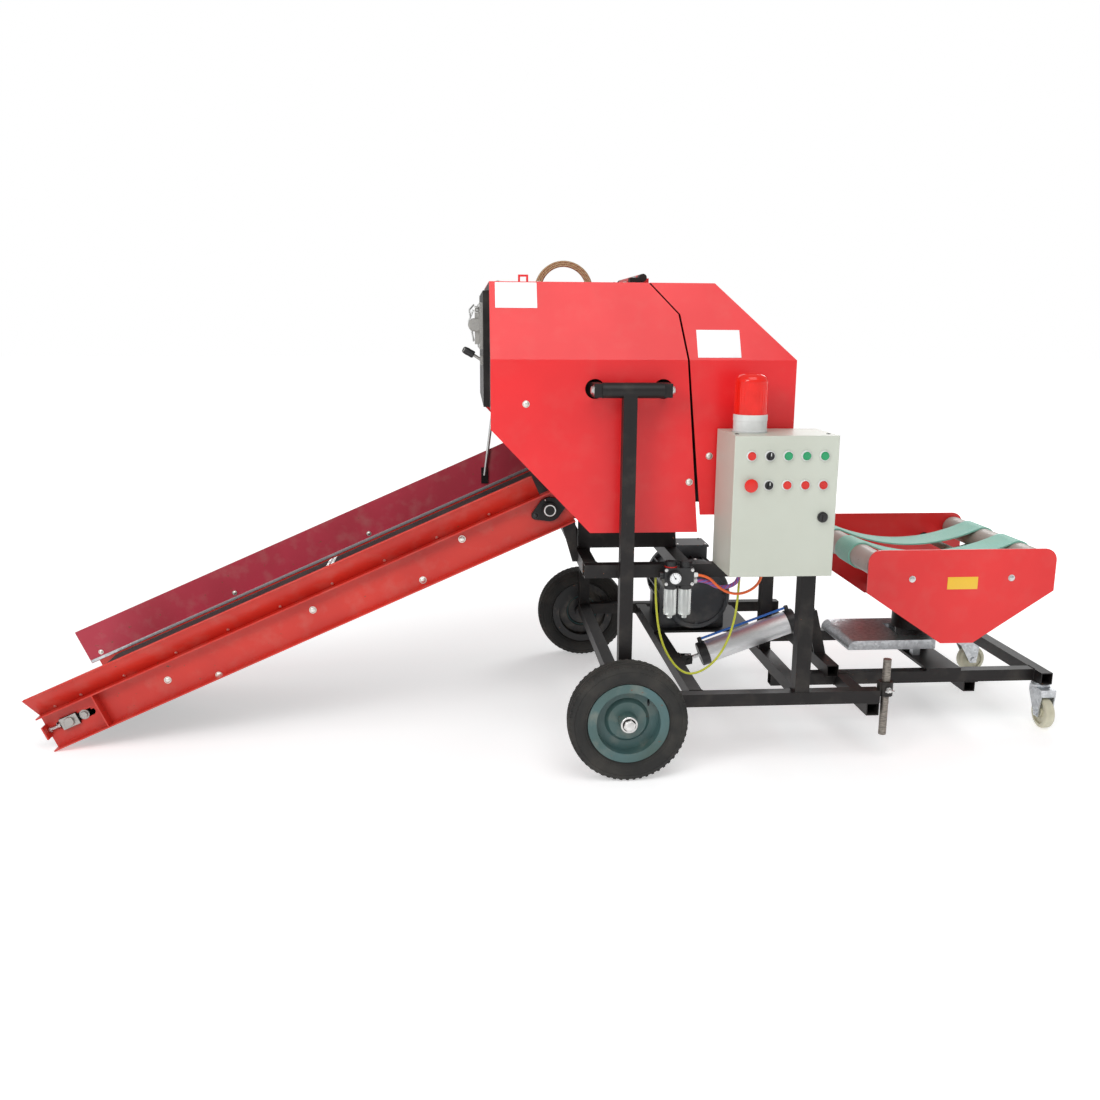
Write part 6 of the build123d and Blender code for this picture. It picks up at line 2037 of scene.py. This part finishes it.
@dataclass
class Studio:
    """Pale floor, soft light and the photograph's camera.

    Attributes:
        focal_px: Focal length in pixels of the frame.
        frame_px: Width of the frame in pixels.
        eye: Place of the camera, from the axle's middle.
        yaw: Turn towards +X.
        pitch: Tilt downwards.
        roll: Turn about the view.
        surround: Brightness of the white surround as the machine sees it.
    """

    focal_px: float = 1055.0366
    frame_px: float = 1100.0
    eye: Point = (-473.5854, -3561.5123, 1328.4601)
    yaw: float = 0.0815
    pitch: float = 0.21
    roll: float = -0.0062
    surround: float = 0.45

    def camera(self) -> None:
        """Sets up the camera at the photograph's angle."""
        flat = math.cos(self.pitch)
        ahead = Vector((math.sin(self.yaw) * flat, math.cos(self.yaw) * flat, -math.sin(self.pitch)))
        right = Vector((math.cos(self.yaw), -math.sin(self.yaw), 0))
        down = ahead.cross(right)
        across = right * math.cos(self.roll) + down * math.sin(self.roll)
        below = down * math.cos(self.roll) - right * math.sin(self.roll)
        data = bpy.data.cameras.new("photo_camera")
        data.lens = self.focal_px * data.sensor_width / self.frame_px
        data.clip_start, data.clip_end = 0.05, 200.0
        camera = linked("photo_camera", data)
        turn = Matrix((across, -below, -ahead)).transposed().to_4x4()
        camera.matrix_world = Matrix.Translation(place(*self.eye)) @ turn
        bpy.context.scene.camera = camera

    def floor(self) -> None:
        """Lays the pale floor."""
        shader = Shader("pale_floor")
        spot = shader.position()
        cloud = shader.noise(spot, 1.5, 3.0).between(0.3, 0.7)
        x, y, _ = shader.split(spot)
        away = shader.hypot(x, y).between(1.6, 5.0)
        shader.surface(
            {
                "Base Color": shader.blend(cloud, (0.82, 0.82, 0.82), (0.80, 0.80, 0.805)),
                "Roughness": 0.85,
                "Emission Color": shader.blend(away, (0.42, 0.42, 0.42), (0.66, 0.66, 0.66)),
                "Emission Strength": 1.0,
            }
        )
        data = bpy.data.meshes.new("floor")
        reach = 40.0
        corners = [(x, y, 0.0) for x, y in rectangle((-reach, -reach), (reach, reach))]
        data.from_pydata(corners, [], [(0, 1, 2, 3)])
        data.materials.append(shader.material)
        floor = linked("floor", data)
        floor.location.z = -0.0005

    def lamp(self, name: str, spot: Point, aim: Point, size: float, power: float) -> None:
        """Hangs one soft lamp.

        Args:
            name: Name of the lamp.
            spot: Its place in metres.
            aim: Point that it faces, in metres.
            size: Side of its square face in metres.
            power: Power in watts.
        """
        data = bpy.data.lights.new(name, "AREA")
        data.shape = "SQUARE"
        data.size = size
        data.energy = power
        turn = (Vector(aim) - Vector(spot)).to_track_quat("-Z", "Y").to_matrix().to_4x4()
        linked(name, data).matrix_world = Matrix.Translation(Vector(spot)) @ turn

    def light(self) -> None:
        """Sets up the white surround and the lamps."""
        world = bpy.data.worlds.new("white_surround")
        world.use_nodes = True
        graph = Graph(world.node_tree)
        seen = graph.signal("ShaderNodeLightPath", output="Is Camera Ray")
        colour, strength = graph.tree.nodes["Background"].inputs[:2]
        graph.feed(colour, (1.0, 1.0, 1.0))
        graph.feed(strength, seen * (1.0 - self.surround) + self.surround)
        bpy.context.scene.world = world
        bpy.context.scene.view_settings.view_transform = "Standard"
        self.lamp("sky", (0.2, -2.9, 4.6), (0.1, -0.2, 1.0), 3.4, 85.0)
        self.lamp("key", (-3.6, -4.2, 3.4), (0.0, 0.0, 0.8), 2.2, 115.0)
        self.lamp("fill", (3.2, 4.4, 3.4), (0.0, 0.0, 0.7), 2.6, 95.0)

    def build(self) -> None:
        """Builds the studio."""
        self.camera()
        self.floor()
        self.light()


def leads() -> list[Lead]:
    """The hanging leads under the cabinet.

    Returns:
        The leads.
    """
    earth = [
        (97, -500, 590), (97, -500, 530), (108, -526, 402), (155, -528, 313), (209, -528, 280),
        (279, -528, 317), (325, -528, 399), (347, -528, 510), (347, -528, 630),
    ]
    hose = [
        (200, -558, 606), (240, -558, 606), (280, -568, 562), (330, -569, 545),
        (378, -568, 560), (405, -568, 595), (405, -568, 630),
    ]
    bundle = [
        (200, -547, 587), (240, -547, 587), (275, -547, 563),
        (318, -547, 566), (343, -547, 590), (343, -547, 630),
    ]
    return [
        Lead("earth_lead_dressed", "earth_lead", earth, 7.0, Finish.LIME, "lead_green"),
        Lead("air_hose_dressed", "air_hose", hose, 8.0, Finish.ORANGE, "hose_orange"),
        Lead("cable_bundle_dressed", "cable_bundle", bundle, 12.0, Finish.PURPLE, "lead_purple", "limp"),
    ]


def main() -> None:
    """Builds the dressed model in order."""
    logging.basicConfig(level=logging.INFO, format="%(name)s: %(message)s")
    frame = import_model()
    Studio().build()
    for lead in leads():
        lead.build()
    TwineCoil().build()
    Dressing(frame).apply()
    lugs = RingPattern(Finish.TYRE)
    for side in SIDES:
        RoadWheel(side).build(lugs)
    stock = Fasteners.stock()
    for assembly in (Hood, TyingGear, Conveyor, Cabinet, AirGear, Motor, WrappingTable, Chassis):
        assembly(stock).build()


if __name__ == "__main__":
    main()
